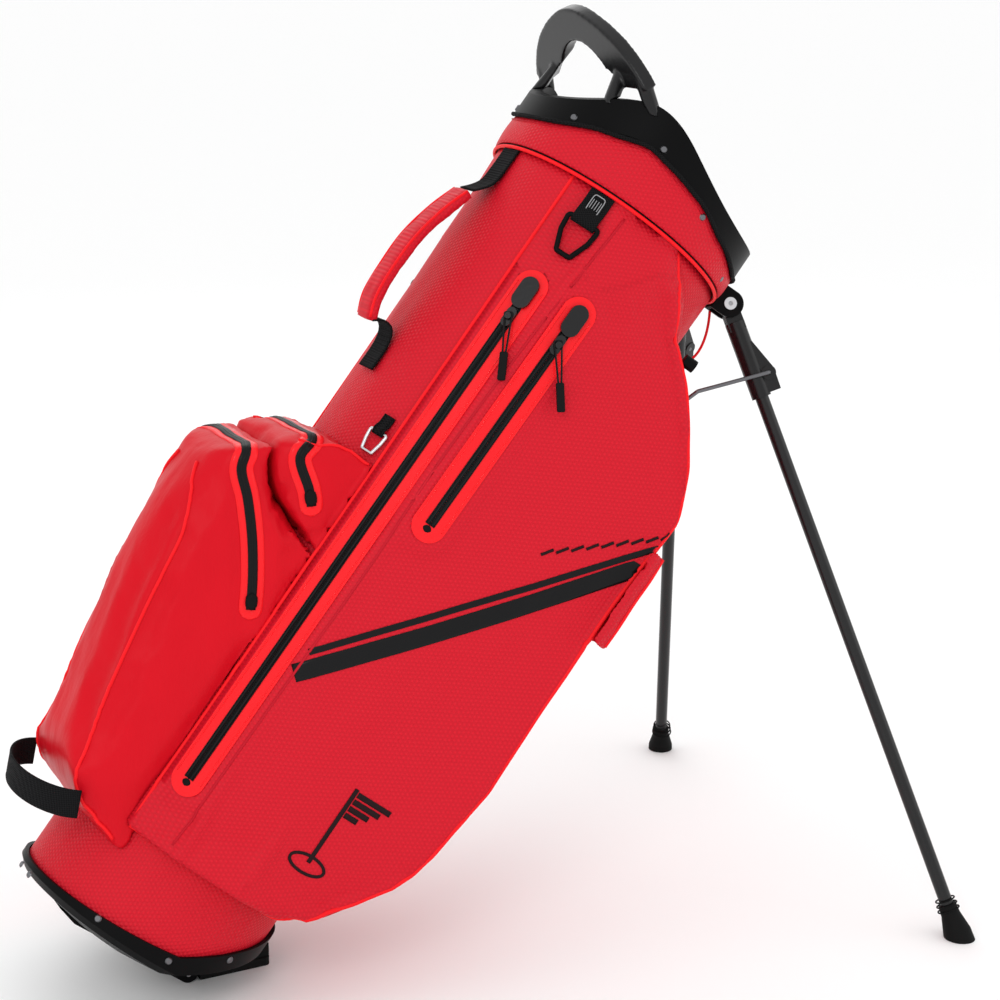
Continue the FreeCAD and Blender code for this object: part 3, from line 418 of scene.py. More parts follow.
def on_skin(tree, points, pitch, lift):
    """A smooth path just above a soft surface."""
    path = []
    for point in smooth_path([tree.find_nearest(point)[0] for point in points], pitch):
        spot, normal, _, _ = tree.find_nearest(point)
        path.append(spot + normal * lift)
    return path


def laid(name, path, width, lift, thick, tree, paint_name, body="bag", nodes=(), across_count=4, dome=0.0,
         rounded=False):
    """A strip that lies on a soft surface and follows it. Path and sizes are in metres."""
    rings = []
    runs = directions(path)
    full_width = width
    for index, (point, run) in enumerate(zip(path, runs)):
        width = full_width * (rounded_end(path, index, full_width) if rounded else 1.0)
        spot, normal, _, _ = tree.find_nearest(point)
        across = run.cross(normal).normalized()
        top = []
        low = []
        for k in range(across_count + 1):
            share = 2 * k / across_count - 1
            place, out, _, _ = tree.find_nearest(spot + across * share * width / 2)
            out = (out + normal * 2).normalized()
            rise = lift + thick + dome * (1 - share * share)
            top.append(place + out * rise)
            low.append(place + out * (lift - 0.0008))
        rings.append(top + list(reversed(low)))
    return loft(name, rings, paint_name, body, nodes)


# ---------------------------------------------------------------- soft bodies

def facet_frame(side, facet):
    """Start, direction and outward normal, in the bag's plan, of a flat of the side pocket."""
    def knee(angle, swell):
        a = math.radians(angle)
        return Vector((math.cos(a), side * math.sin(a), 0)) * (122.0 + swell)

    knees = [Vector((SEAM[0], side * SEAM[1], 0)), knee(117, 6.0), knee(88, 14.0)]
    run = (knees[facet + 1] - knees[facet]).normalized()
    return knees[facet], run, Vector((-run.y, run.x, 0)) * side


def front_frame(side):
    """The same for a side of the ball pocket. Its direction runs towards the legs."""
    a = math.radians(side * 12.5)
    run = Vector((math.cos(a), math.sin(a), 0))
    return Vector((SEAM[0], side * 76.0, 0)), run, Vector((-run.y, run.x, 0)) * side


def on_frame(plane, along, height, lift=0.0):
    """A point on a flat of a pocket, in the bag's frame."""
    start, run, out = plane
    spot = start + run * along + out * lift
    return Vector((spot.x, spot.y, height))


def nearest_on(points, spot):
    """Distance from a spot to a polyline."""
    best = 1e9
    for a, b in zip(points, points[1:]):
        run = b - a
        share = max(0.0, min(1.0, (spot - a).dot(run) / max(run.length_squared, 1e-9)))
        best = min(best, (spot - (a + run * share)).length)
    return best


def pressed(thing, plane, line, full, fade, lift):
    """Flattens the soft surface under a welded zip, so that the zip lies on it."""
    start, _, out = plane
    path = [on_frame(plane, a, h) for a, h in line]
    for vertex in thing.data.vertices:
        spot = upright(vertex.co)
        stand = (spot - start).dot(out)
        if abs(stand) > 14:
            continue
        flat = spot - out * stand
        away = nearest_on(path, flat)
        if away < fade:
            share = 1.0 if away < full else (fade - away) / (fade - full)
            share = share * share * (3 - 2 * share)
            moved = spot + out * (lift - stand) * share
            vertex.co = bag(*moved)
    return thing


def remeshed(node, name, voxel, smoothing=6):
    """A CAD soft solid as an even, soft-edged mesh of its own."""
    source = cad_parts[node]
    thing = bpy.data.objects.new(name, source.data.copy())
    bpy.context.scene.collection.objects.link(thing)
    remesh = thing.modifiers.new("remesh", "REMESH")
    remesh.mode = "VOXEL"
    remesh.voxel_size = voxel
    smooth = thing.modifiers.new("smooth", "SMOOTH")
    smooth.factor = 0.5
    smooth.iterations = smoothing
    return apply_modifiers(thing)


def blown(thing, pressure, cap, inset, fixed):
    """A closed skin pulled in a little and blown up as cloth. Fixed spots stay where they are sewn."""
    normals = [vertex.normal.copy() for vertex in thing.data.vertices]
    for vertex, normal in zip(thing.data.vertices, normals):
        if not fixed(upright(vertex.co)):
            vertex.co -= normal * inset
    start = [vertex.co.copy() for vertex in thing.data.vertices]
    held = thing.vertex_groups.new(name="held")
    held.add([v.index for v in thing.data.vertices if fixed(upright(v.co))], 1.0, "REPLACE")
    cloth = thing.modifiers.new("cloth", "CLOTH")
    settings = cloth.settings
    settings.quality = 5
    settings.mass = 0.2
    settings.use_pressure = True
    settings.uniform_pressure_force = pressure
    settings.vertex_group_mass = "held"
    settings.tension_stiffness = 12
    settings.compression_stiffness = 12
    settings.bending_stiffness = 0.6
    settings.effector_weights.gravity = 0.0
    cloth.collision_settings.use_collision = False
    cloth.point_cache.frame_start = 1
    cloth.point_cache.frame_end = CLOTH_FRAMES
    for step in range(1, CLOTH_FRAMES + 1):
        bpy.context.scene.frame_set(step)
    apply_modifiers(thing)
    bpy.context.scene.frame_set(1)
    for vertex, home in zip(thing.data.vertices, start):
        moved = vertex.co - home
        if moved.length > cap:
            vertex.co = home + moved.normalized() * cap
    for face in thing.data.polygons:
        face.use_smooth = True
    return thing


def puffed(node, name, voxel, pressure, cap, inset, paint_name, fixed, smoothing=6):
    """A sewn piece: the CAD solid remeshed, pulled in a little and blown up as cloth."""
    return paint(blown(remeshed(node, name, voxel, smoothing), pressure, cap, inset, fixed), paint_name)


def wrinkled(thing, depth, scale, stretch, seed, still=lambda spot: 0.0):
    """Soft folds pressed into a surface along its normals, in millimetres."""
    normals = [vertex.normal.copy() for vertex in thing.data.vertices]
    for vertex, normal in zip(thing.data.vertices, normals):
        spot = upright(vertex.co)
        calm = 1.0 - still(spot)
        if calm <= 0:
            continue
        sample = Vector((spot.x * stretch[0], spot.y * stretch[1], spot.z * stretch[2])) * scale
        fold = noise.noise(sample + Vector((seed, seed * 0.7, 0)))
        fine = noise.noise(sample * 2.7 + Vector((0, seed, seed)))
        vertex.co += normal * (fold + 0.45 * fine) * depth * calm / 1000
    thing.data.update()
    return thing


# The side pocket's free edge: height, distance out along the edge line, and how full it is there.
POCKET_EDGE = ((106, 153, 1.0), (122, 182, 1.0), (136, 193, 1.0), (185, 234, 1.0), (225, 250, 1.0),
               (302, 262, 1.0), (463, 262, 1.0), (564, 267, 1.0), (598, 269, 1.0), (646, 242, 1.0),
               (705, 195, 1.0), (731, 168, 0.75), (775, 136, 0.2), (797.5, 119, 0.0))
EDGE_TURN = math.radians(21.6)
LONG_ZIP = (0, ((23, 169), (27, 691)))
SHORT_ZIP = (1, ((18.4, 467), (22.4, 694)))


def on_edge_plane(side, along, height):
    across = SEAM[1] + along * math.sin(EDGE_TURN)
    return bag(SEAM[0] + along * math.cos(EDGE_TURN), side * across, height)


def along_view(tree, point):
    """Where a slanted line through the point meets a surface. The line is mirrored on the far side."""
    direction = Vector(LOOK_WAY)
    if point.y > 0:
        direction.y = -direction.y
    hit = tree.ray_cast(point - direction * 0.6, direction)
    return hit[0] if hit[0] is not None else tree.find_nearest(point)[0]


def edge_at(height):
    """Reach and fullness of the free edge at a height."""
    for (low, reach, full), (high, next_reach, next_full) in zip(POCKET_EDGE, POCKET_EDGE[1:]):
        if height <= high:
            share = (height - low) / (high - low)
            return reach + (next_reach - reach) * share, full + (next_full - full) * share
    return POCKET_EDGE[-1][1:]


def spread(points, count):
    """Evenly spaced points along straight runs, first and last included."""
    lengths = [(b - a).length for a, b in zip(points, points[1:])]
    total = sum(lengths)
    out = []
    for i in range(count):
        want = total * i / (count - 1)
        k = 0
        while k < len(lengths) - 1 and want > lengths[k]:
            want -= lengths[k]
            k += 1
        out.append(points[k].lerp(points[k + 1], min(1.0, want / max(lengths[k], 1e-9))))
    return out


def pocket_mesh(side, name):
    """The side pocket as an even skin of rings up the bag, its corners softened."""
    def polar(angle, radius):
        a = math.radians(angle)
        return Vector((math.cos(a), side * math.sin(a), 0)) * radius

    rings = []
    steps = 172
    for i in range(steps + 1):
        height = POCKET_EDGE[0][0] + (POCKET_EDGE[-1][0] - POCKET_EDGE[0][0]) * i / steps
        reach, full = edge_at(height)
        seam = Vector((SEAM[0], side * SEAM[1], 0))
        first = polar(117, 122 + 6 * full)
        second = polar(88, 122 + 14 * full)
        corner = seam + Vector((math.cos(EDGE_TURN), side * math.sin(EDGE_TURN), 0)) * reach
        hug = polar(27, 110)
        edge = corner + (second - corner).normalized() * 6
        soft = corner + (hug - corner).normalized() * 6
        face = spread([seam, first, second, edge, soft, hug], 96)
        for _ in range(5):
            inside = [(a + b * 2 + c) / 4 for a, b, c in zip(face, face[1:], face[2:])]
            face = [face[0]] + inside + [face[-1]]
        back = [polar(27 + 115 * k / 24, tube_radius(height) - 5) for k in range(1, 24)]
        rings.append([bag(spot.x, spot.y, height) for spot in face + back])
    return loft(name, rings, "panel")


def side_pocket(side, tag):
    """A side pocket with its piping, seam and printed stripes."""
    def fixed(spot):
        return math.hypot(spot.x, spot.y) < tube_radius(spot.z) + 5.0 or spot.z < 110

    thing = blown(pocket_mesh(side, "side_pocket_skin_" + tag), 3.0, 0.007, 0.002, fixed)

    def still(spot):
        return 1.0 if fixed(spot) else 0.0

    wrinkled(thing, 2.0, 0.016, (1.0, 1.0, 0.45), 3.0 + side, still)
    pressed(thing, facet_frame(side, 0), LONG_ZIP[1], 19, 36, -0.5)
    if side == NEAR:
        pressed(thing, facet_frame(side, 1), SHORT_ZIP[1], 19, 34, -0.5)
    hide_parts("side_pocket_" + tag)
    tree = surface_of(thing)

    edge = [tree.find_nearest(on_edge_plane(side, along - 2, height))[0]
            for height, along, _ in POCKET_EDGE]
    foot = [tree.find_nearest(on_edge_plane(side, along, 106))[0] for along in (2, 40, 80, 120, 150)]
    path = on_skin(tree, foot + edge[1:], 0.005, 0.0009)
    tube("pocket_piping_" + tag, path, 0.0021, "piping")

    seam = ((43, 116), (46, 282), (48, 414), (47, 522), (52, 663), (61, 790))
    path = smooth_path([along_view(tree, on_edge_plane(side, a, h)) for a, h in seam], 0.006)
    laid("pocket_seam_" + tag, path, 0.0022, 0.0002, 0.0007, tree, "seam", across_count=2, dome=0.0006)
    start = [on_edge_plane(side, 1, h) for h in (112, 250, 400, 520, 640, 720, 785, 796)]
    path = on_skin(tree, start, 0.005, 0.0006)
    tube("pocket_back_piping_" + tag, path, 0.0017, "piping")

    wide = (((45, 308), (150, 430), (259, 557)), ((47, 284), (150, 407), (259, 534)))
    narrow = (((47, 324), (150, 446), (259, 570)), ((46, 313), (150, 438), (260, 566)))
    for name, (top, low) in (("wide", wide), ("narrow", narrow)):
        middle = [on_edge_plane(side, (a + c) / 2, (b + d) / 2) for (a, b), (c, d) in zip(top, low)]
        depth = (on_edge_plane(side, *top[1]) - on_edge_plane(side, *low[1])).length
        path = smooth_path([along_view(tree, point) for point in middle], 0.006)
        laid("stripe_%s_%s" % (name, tag), path, depth * 0.72, 0.0002, 0.0003, tree, "print",
             across_count=6)
    return tree


def ball_side(node, name, fixed, seed):
    thing = puffed(node, name, 0.005, 3.0, 0.006, 0.003, "nylon", fixed)
    wrinkled(thing, 2.2, 0.022, (1.0, 1.0, 0.5), seed, lambda spot: 1.0 if fixed(spot) else 0.0)
    return thing


BALL_ZIP = ((-96.3, 415), (-77, 397), (-54, 371), (-33, 342), (-14.3, 311))
VALUABLES_ZIP = ((-59.4, 452), (-36, 433), (-20.5, 416))
BALL_PIPING = ((-219, 25, 399), (-201, 50, 345), (-188, 53, 272), (-175, 56, 186), (-163, 58, 131),
               (-152, 62, 106), (-135, 66, 95), (-99, 74, 86))


def front_pockets():
    """The ball pocket and the valuables pocket with their zips."""
    def fixed(spot):
        return math.hypot(spot.x, spot.y) < tube_radius(spot.z) + 5.0 or spot.x > -92

    ball = ball_side("ball_pocket", "ball_pocket_skin", fixed, 11.0)
    small = ball_side("valuables_pocket", "valuables_pocket_skin", fixed, 17.0)
    for side, tag in SIDES:
        pressed(ball, front_frame(side), BALL_ZIP, 8, 22, -0.4)
        pressed(small, front_frame(side), VALUABLES_ZIP, 8, 18, -0.4)
    for thing, node in ((ball, "ball_pocket"), (small, "valuables_pocket")):
        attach(thing, "bag")
        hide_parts(node)
    ball_tree = surface_of(ball)
    small_tree = surface_of(small)
    for tree, line, crest, name, node in ((ball_tree, BALL_ZIP, (-194, 437), "ball", "zip_ball"),
                                          (small_tree, VALUABLES_ZIP, (-147, 473), "valuables",
                                           "zip_valuables")):
        legs = {side: [bag(*on_frame(front_frame(side), a, h)) for a, h in line] for side in (NEAR, FAR)}
        half = 76 + (crest[0] - SEAM[0]) * math.tan(math.radians(12.5))
        over = [bag(crest[0], y * half, crest[1]) for y in (-0.75, 0.0, 0.75)]
        route = list(reversed(legs[NEAR])) + over + legs[FAR]
        path = smooth_path([tree.find_nearest(point)[0] for point in route], 0.003)
        laid("zip_band_" + name, path, 0.021, 0.0002, 0.0005, tree, "band", across_count=6, rounded=True)
        inner = path[3:-3]
        laid("zip_lips_" + name, inner, 0.0085, 0.0006, 0.0008, tree, "lips", nodes=(node,), dome=0.0003)
        laid("zip_line_" + name, inner, 0.0010, 0.0017, 0.0003, tree, "print", across_count=2)
        laid("zip_stop_" + name, inner[:6], 0.0105, 0.0012, 0.0016, tree, "rubber", across_count=6,
             dome=0.0010, rounded=True)
    for side, tag in SIDES:
        path = on_skin(ball_tree, [bag(f, side * y, h) for f, y, h in BALL_PIPING], 0.004, 0.0006)
        tube("ball_piping_" + tag, path, 0.0016, "piping")
        top = on_skin(small_tree, [bag(f, side * y, h) for f, y, h in
                                   ((-161, 55, 466), (-131, 66, 483), (-99, 73, 482))], 0.004, 0.0005)
        tube("valuables_piping_" + tag, top, 0.0014, "piping")


# ---------------------------------------------------------------- tube, collar and straps

def tray_line(forward):
    """Top of the moulded tray, which the fabric tucks into."""
    return max(23.0, 19.6 + 0.47 * forward) + 2.0


def behind_pocket(angle, height):
    """How far under a side pocket a spot on the tube is: 0 outside it, 1 well inside."""
    angle = angle if angle < 180 else 360 - angle
    across = min(1.0, max(0.0, (angle - 34) / 6)) * min(1.0, max(0.0, (142 - angle) / 4))
    return across * min(1.0, max(0.0, (height - 112) / 6))


def tube_skin():
    """The body tube: a cloth wall with long soft folds."""
    rings = []
    count = 120
    heights = [i / 70 for i in range(71)]
    for share in heights:
        ring = []
        for k in range(count):
            a = 2 * math.pi * k / count
            low = tray_line(112 * math.cos(a)) - 6
            height = low + (TUBE_TOP - 0.5 - low) * share
            radius = tube_radius(height)
            sample = Vector((math.cos(a) * 3.2, math.sin(a) * 3.2, height * 0.007))
            fold = noise.noise(sample) + 0.5 * noise.noise(sample * 2.3)
            free = min(1.0, (1 - share) * 12) * min(1.0, share * 14)
            radius += (1.5 * fold - 1.0) * free - 2.2 * behind_pocket(math.degrees(a), height)
            ring.append(bag(radius * math.cos(a), radius * math.sin(a), height))
        rings.append(ring)
    for share in reversed(heights):
        ring = []
        for k in range(count):
            a = 2 * math.pi * k / count
            low = tray_line(112 * math.cos(a)) - 6
            height = low + (TUBE_TOP - 0.5 - low) * share
            radius = tube_radius(height) - 4.2
            ring.append(bag(radius * math.cos(a), radius * math.sin(a), height))
        rings.append(ring)
    thing = loft("tube_skin", rings, "tube", nodes=("bag_tube",), closed=True)
    return thing


LOWER_LINE = ((-130, 829), (-99, 844), (-65, 854), (-43, 850), (-4, 843), (41, 830), (91, 821), (134, 829))


def lower_line(forward):
    """Lower edge of the moulded ring, where the collar ends."""
    for (a, b), (c, d) in zip(LOWER_LINE, LOWER_LINE[1:]):
        if forward <= c:
            share = max(0.0, (forward - a) / (c - a))
            share = share * share * (3 - 2 * share) * 0.4 + share * 0.6
            return b + (d - b) * share
    return LOWER_LINE[-1][1]


def collar_skin():
    """Padded fabric collar between the tube seam and the moulded ring."""
    rings = []
    count = 144
    rows = 14
    for inner in (False, True):
        for i in range(rows + 1):
            share = i / rows if not inner else 1 - i / rows
            ring = []
            for k in range(count):
                a = 2 * math.pi * k / count
                top = lower_line(127 * math.cos(a)) - 0.4
                height = 801.4 + (top - 801.4) * share
                swell = math.sin(math.pi * share) ** 0.6 * 1.8
                sample = Vector((math.cos(a) * 6, math.sin(a) * 6, height * 0.03))
                radius = 124.0 if inner else 126.0 + swell + 0.5 * noise.noise(sample)
                ring.append(bag(radius * math.cos(a), radius * math.sin(a), height))
            rings.append(ring)
    thing = loft("collar_skin", rings, "tube", nodes=("collar_cover",), closed=True)
    for name, lift, radius, size, paint_name in (("ring_binding", -1.0, 129.4, 0.0021, "webbing"),
                                                 ("collar_stitch_cord", -5.5, 127.6, 0.0006, "seam")):
        path = []
        for k in range(145):
            a = 2 * math.pi * k / 144
            height = lower_line(127 * math.cos(a)) + lift
            path.append(bag(radius * math.cos(a), radius * math.sin(a), height))
        tube(name, path, size, paint_name)


def stitches(name, path, pitch, tree_out, paint_name, body="bag", lift=0.0006):
    """A row of short raised threads."""
    points = []
    faces = []
    for point, run, out in zip(path, directions(path), tree_out):
        out = (out - run * out.dot(run)).normalized()
        across = run.cross(out)
        base = len(points)
        for a, b, c in ((-0.3, -0.0003, 0), (-0.3, 0.0003, 0), (0.3, 0.0003, 0), (0.3, -0.0003, 0),
                        (-0.2, 0, 1), (0.2, 0, 1)):
            points.append(point + run * a * pitch + across * b + out * c * lift)
        faces += [(base, base + 1, base + 4), (base + 2, base + 3, base + 5),
                  (base + 1, base + 2, base + 5, base + 4), (base + 3, base, base + 4, base + 5)]
    return new_piece(name, points, faces, paint_name, body, smooth=False)


def webbing_parts():
    """The grab loop, the carry handle's straps and the tabs."""
    place = [(-142 - 38.8 * math.sin(math.pi * t), -math.cos(math.pi * t) * 70, t) for t in
             [i / 48 for i in range(49)]]
    path = []
    outs = []
    dip = math.radians(26)
    for forward, y, t in place:
        drop = (forward + 142) * math.sin(dip)
        path.append(bag(-142 + (forward + 142) * math.cos(dip), y, 100 + drop))
        angle = math.pi * t
        outs.append(turn(-math.sin(angle) * math.cos(dip), -math.cos(angle),
                         -math.sin(angle) * math.sin(dip)))
    strap("grab_loop", path, outs, 0.025, 0.0022, "webbing", nodes=("lower_loop",))

    for name, line in (("low", ((-120.6, 556), (-121.0, 582), (-126.6, 596), (-137, 598), (-147, 592))),
                       ("high", ((-138, 741), (-130, 750), (-124.6, 760), (-123.4, 776), (-123.2, 796)))):
        path = smooth_path([bag(f, 0, h) for f, h in line], 0.004)
        outs = [turn(-run.dot(turn(0, 0, 1)), 0, run.dot(turn(1, 0, 0))) for run in directions(path)]
        nodes = ("carry_webbing",) if name == "low" else ()
        strap("carry_strap_" + name, path, outs, 0.028, 0.0022, "webbing", nodes=nodes)

    for name, node, angle, heights, width in (("strap", "strap_tab", -126, (796, 781, 768, 761), 0.024),
                                              ("key", "key_tab", -149, (528, 519, 513, 508), 0.012)):
        a = math.radians(angle)
        bar = 2.4 if name == "strap" else 1.6
        path = []
        for height, out in zip(heights, (1.4, 2.0, bar * 2 + 2.0, 1.6 + bar)):
            radius = tube_radius(height) + out
            path.append(bag(radius * math.cos(a), radius * math.sin(a), height))
        path = smooth_path(path, 0.003)
        outs = [turn(math.cos(a), math.sin(a), 0.2)] * len(path)
        strap(name + "_webbing", path, outs, width, 0.0026, "webbing", nodes=(node,))
    a = math.radians(-126)
    middle = bag((tube_radius(783) + 3.9) * math.cos(a), (tube_radius(783) + 3.9) * math.sin(a), 783)
    out = turn(math.cos(a), math.sin(a), 0)
    across = turn(-math.sin(a), math.cos(a), 0)
    up = turn(0, 0, 1)
    corners = []
    for k in range(40):
        t = 2 * math.pi * k / 40
        c, s = math.cos(t), math.sin(t)
        reach = (abs(c) ** 6 + abs(s) ** 6) ** (-1 / 6)
        corners.append(middle + across * c * reach * 0.0058 + up * s * reach * 0.0088 + out * 0.0004)
    corners.append(corners[0])
    tube("tab_label_frame", corners, 0.0005, "label")
    for k, share in enumerate((-0.5, -0.17, 0.17, 0.5)):
        path = [middle + across * share * 0.0076 + up * t * 0.0045 + out * 0.0004
                for t in (-1, -0.3, 0.4, 1)]
        tube("tab_label_bar_%d" % k, path, 0.0004, "label", sides=6)


def carry_grip():
    """The padded sleeve of the carry handle."""
    def fixed(spot):
        return False

    thing = puffed("carry_grip", "carry_grip_skin", 0.003, 2.0, 0.0015, 0.001, "panel", fixed, 14)
    wrinkled(thing, 0.7, 0.07, (1, 1, 1), 5.0)
    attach(thing, "bag")
    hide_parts("carry_grip")
    tree = surface_of(thing)
    line = ((-152, 592), (-160, 611), (-163.5, 640), (-162.5, 675), (-154.5, 711), (-144, 739))
    for side, tag in SIDES:
        points = [tree.find_nearest(bag(f, side * 15.5, h))[0] for f, h in line]
        tube("grip_piping_" + tag, smooth_path(points, 0.004), 0.0013, "piping")


def hip_pads():
    """The pads at the free edges of the side pockets."""
    for side, tag in SIDES:
        thing = puffed("hip_pad_" + tag, "hip_pad_skin_" + tag, 0.004, 3.0, 0.003, 0.002, "panel",
                       lambda spot: False)
        wrinkled(thing, 1.0, 0.05, (1, 1, 0.5), 7.0 + side)
        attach(thing, "bag")
        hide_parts("hip_pad_" + tag)
        tree = surface_of(thing)
        corner = on_edge_plane(side, 269, 0)
        points = [corner + turn(0, 0, h) / 1000 for h in (464, 490, 515, 540, 564)]
        path = smooth_path([tree.find_nearest(point)[0] for point in points], 0.005)
        tube("hip_piping_" + tag, path, 0.0018, "piping")


def spine():
    """Cloth sleeve over the push rod, with its edges sewn down."""
    rings = []
    for i in range(61):
        share = i / 60
        height = 95 + 415 * share
        radius = tube_radius(height)
        ring = []
        for k in range(17):
            t = -1 + 2 * k / 16
            y = 14 * t
            bulge = (1 - abs(t) ** 3.2)
            ruck = 0.35 * noise.noise(Vector((t * 2, 0, height * 0.06)))
            forward = math.sqrt(radius ** 2 - y ** 2) + 0.2 + (136.2 - radius) * bulge + ruck * bulge
            ring.append(bag(forward, y, height))
        for k in range(16, -1, -1):
            t = -1 + 2 * k / 16
            y = 12.4 * t
            bulge = (1 - abs(t) ** 3.2)
            forward = math.sqrt(radius ** 2 - y ** 2) - 0.5 + (135.0 - radius) * bulge
            ring.append(bag(forward, y, height))
        rings.append(ring)
    loft("spine_sleeve", rings, "webbing", nodes=("spine_cover",), caps=False)


def side_zips():
    """Rubber-edged zip lips in the welded bands."""
    nodes = ["zip_chains"]
    for (facet, line), side, tag in ((LONG_ZIP, NEAR, "long_near"), (SHORT_ZIP, NEAR, "short_near"),
                                     (LONG_ZIP, FAR, "long_far")):
        plane = facet_frame(side, facet)
        (a0, h0), (a1, h1) = line
        out = turn(*plane[2])
        path = [bag(*on_frame(plane, a0 + (a1 - a0) * t, h0 + (h1 - h0) * t, 1.3)) for t in
                [i / 80 for i in range(81)]]
        outs = [out] * len(path)
        run = (path[-1] - path[0]).normalized()
        across = run.cross(out).normalized()
        for k, shift in enumerate((-0.00245, 0.00245)):
            lip = [point + across * shift for point in path]
            made = strap("zip_lip_%s_%d" % (tag, k), lip, outs, 0.0046, 0.0016, "lips")
            if nodes:
                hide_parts(nodes.pop())
        for k, shift in enumerate((-0.0133, 0.0133)):
            bead = [point + across * shift - out * 0.0003 for point in path]
            tube("zip_bead_%s_%d" % (tag, k), bead, 0.0006, "band", sides=6)
        stop = [path[0] + run * (0.0065 * k / 8 - 0.007) - out * 0.0004 for k in range(9)]
        rings = []
        for k, point in enumerate(stop):
            half = 0.0045 * rounded_end(stop, k, 0.009)
            rings.append([point + across * (half * math.cos(t)) + out * (0.0012 * math.sin(t))
                          for t in [2 * math.pi * i / 12 for i in range(12)]])
        loft("zip_stop_" + tag, rings, "rubber")
        count = int((path[-1] - path[0]).length / 0.0024)
        teeth = [path[0].lerp(path[-1], i / count) + out * 0.0005 for i in range(count)]
        stitches("zip_teeth_" + tag, teeth, 0.0020, [out] * count, "print", lift=0.0007)


def rounded_copies():
    """Moulded pieces whose edges are large enough to see: the same solid with its corners rounded."""
    for node, body, width, paint_name in (
            ("pull_tab_long_near", "pull_long_near", 0.0012, "rubber"),
            ("pull_tab_short_near", "pull_short_near", 0.0012, "rubber"),
            ("pull_tab_long_far", "pull_long_far", 0.0012, "rubber"),
            ("lift_handle", "bag", 0.0035, "gloss")):
        thing = bpy.data.objects.new(node + "_round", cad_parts[node].data.copy())
        bpy.context.scene.collection.objects.link(thing)
        if node == "lift_handle":
            remesh = thing.modifiers.new("remesh", "REMESH")
            remesh.mode = "VOXEL"
            remesh.voxel_size = 0.0012
            smooth = thing.modifiers.new("smooth", "SMOOTH")
            smooth.factor = 0.5
            smooth.iterations = 14
        else:
            weld = thing.modifiers.new("weld", "WELD")
            weld.merge_threshold = 0.00001
            bevel = thing.modifiers.new("bevel", "BEVEL")
            bevel.width = width
            bevel.segments = 3
        apply_modifiers(thing)
        for face in thing.data.polygons:
            face.use_smooth = True
        paint(thing, paint_name)
        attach(thing, body)
        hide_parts(node)


def elastic():
    """Red elastic cord between the collar and the pocket edge, behind the leg."""
    route = ((131, -30, 796.5), (146, -30, 776), (147, -30, 742), (123.5, -25, 700))
    curve = bpy.data.curves.new("elastic_line", "CURVE")
    curve.dimensions = "3D"
    spline = curve.splines.new("NURBS")
    spline.points.add(len(route) - 1)
    for point, place in zip(spline.points, route):
        point.co = (*bag(*place), 1)
    spline.order_u = 3
    spline.use_endpoint_u = True
    curve.bevel_depth = 0.0013
    curve.bevel_resolution = 4
    thing = bpy.data.objects.new("elastic_line", curve)
    bpy.context.scene.collection.objects.link(thing)
    curve.materials.append(PAINT["piping"])
    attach(thing, "bag")
    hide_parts("elastic_cord")


def emblem(tree):
    """A plain pennant beside a ring, and a row of ticks above the stripes."""
    pole = [on_edge_plane(NEAR, a, h) for a, h in ((150, 165), (150, 200), (150, 242))]
    path = smooth_path([along_view(tree, point) for point in pole], 0.004)
    laid("emblem_pole", path, 0.004, 0.0002, 0.0003, tree, "emblem", across_count=2)
    for k, (height, length) in enumerate(((238, 34), (231, 27), (224, 20), (217, 13))):
        line = [on_edge_plane(NEAR, a, height) for a in (153, 153 + length / 2, 153 + length)]
        path = smooth_path([along_view(tree, point) for point in line], 0.004)
        laid("emblem_flag_%d" % k, path, 0.0052, 0.0002, 0.0003, tree, "emblem", across_count=2)
    hole = []
    for k in range(41):
        t = 2 * math.pi * k / 40
        hole.append(along_view(tree, on_edge_plane(NEAR, 150 + 17 * math.cos(t), 163 + 8 * math.sin(t))))
    laid("emblem_hole", hole, 0.0028, 0.0002, 0.0003, tree, "emblem", across_count=2)
    for k in range(9):
        start = 168 + 10.5 * k
        bar = [on_edge_plane(NEAR, start + shift, 503 + (start - 168) * 0.86 + rise)
               for shift, rise in ((0, 0), (3.5, 5), (7, 10))]
        path = smooth_path([along_view(tree, point) for point in bar], 0.003)
        laid("stripe_tick_%d" % k, path, 0.0026, 0.0002, 0.0003, tree, "emblem", across_count=2)


def paint_frame():
    """A finish for every CAD node that stays in view."""
    finishes = {
        "plastic": ("base_tray", "top_ring", "leg_bracket", "rod_runner", "rod_guides", "divider_cross",
                    "strap_ring", "edge_button"),
        "gloss": ("leg_sleeve_near", "leg_sleeve_far", "zip_garages"),
        "rubber": ("base_foot", "leg_foot_near", "leg_foot_far"),
        "steel": ("foot_pin", "leg_pins", "key_ring"),
        "dark_steel": ("actuator_arm_near", "actuator_arm_far", "push_rod", "tray_rivets",
                       "rim_rivets"),
        "anodised": ("leg_tube_near", "leg_tube_far", "zip_slider_long_near", "zip_slider_short_near",
                     "zip_slider_long_far", "zip_slider_ball", "zip_slider_valuables"),
        "lining": ("divider_panels", "stay_rods"),
        "piping": ("collar_piping",),
        "band": ("zip_bands",),
        "lips": ("pull_cord_long_near", "pull_cord_short_near", "pull_cord_long_far"),
    }
    for name, nodes in finishes.items():
        for node in nodes:
            paint(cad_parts[node], name)


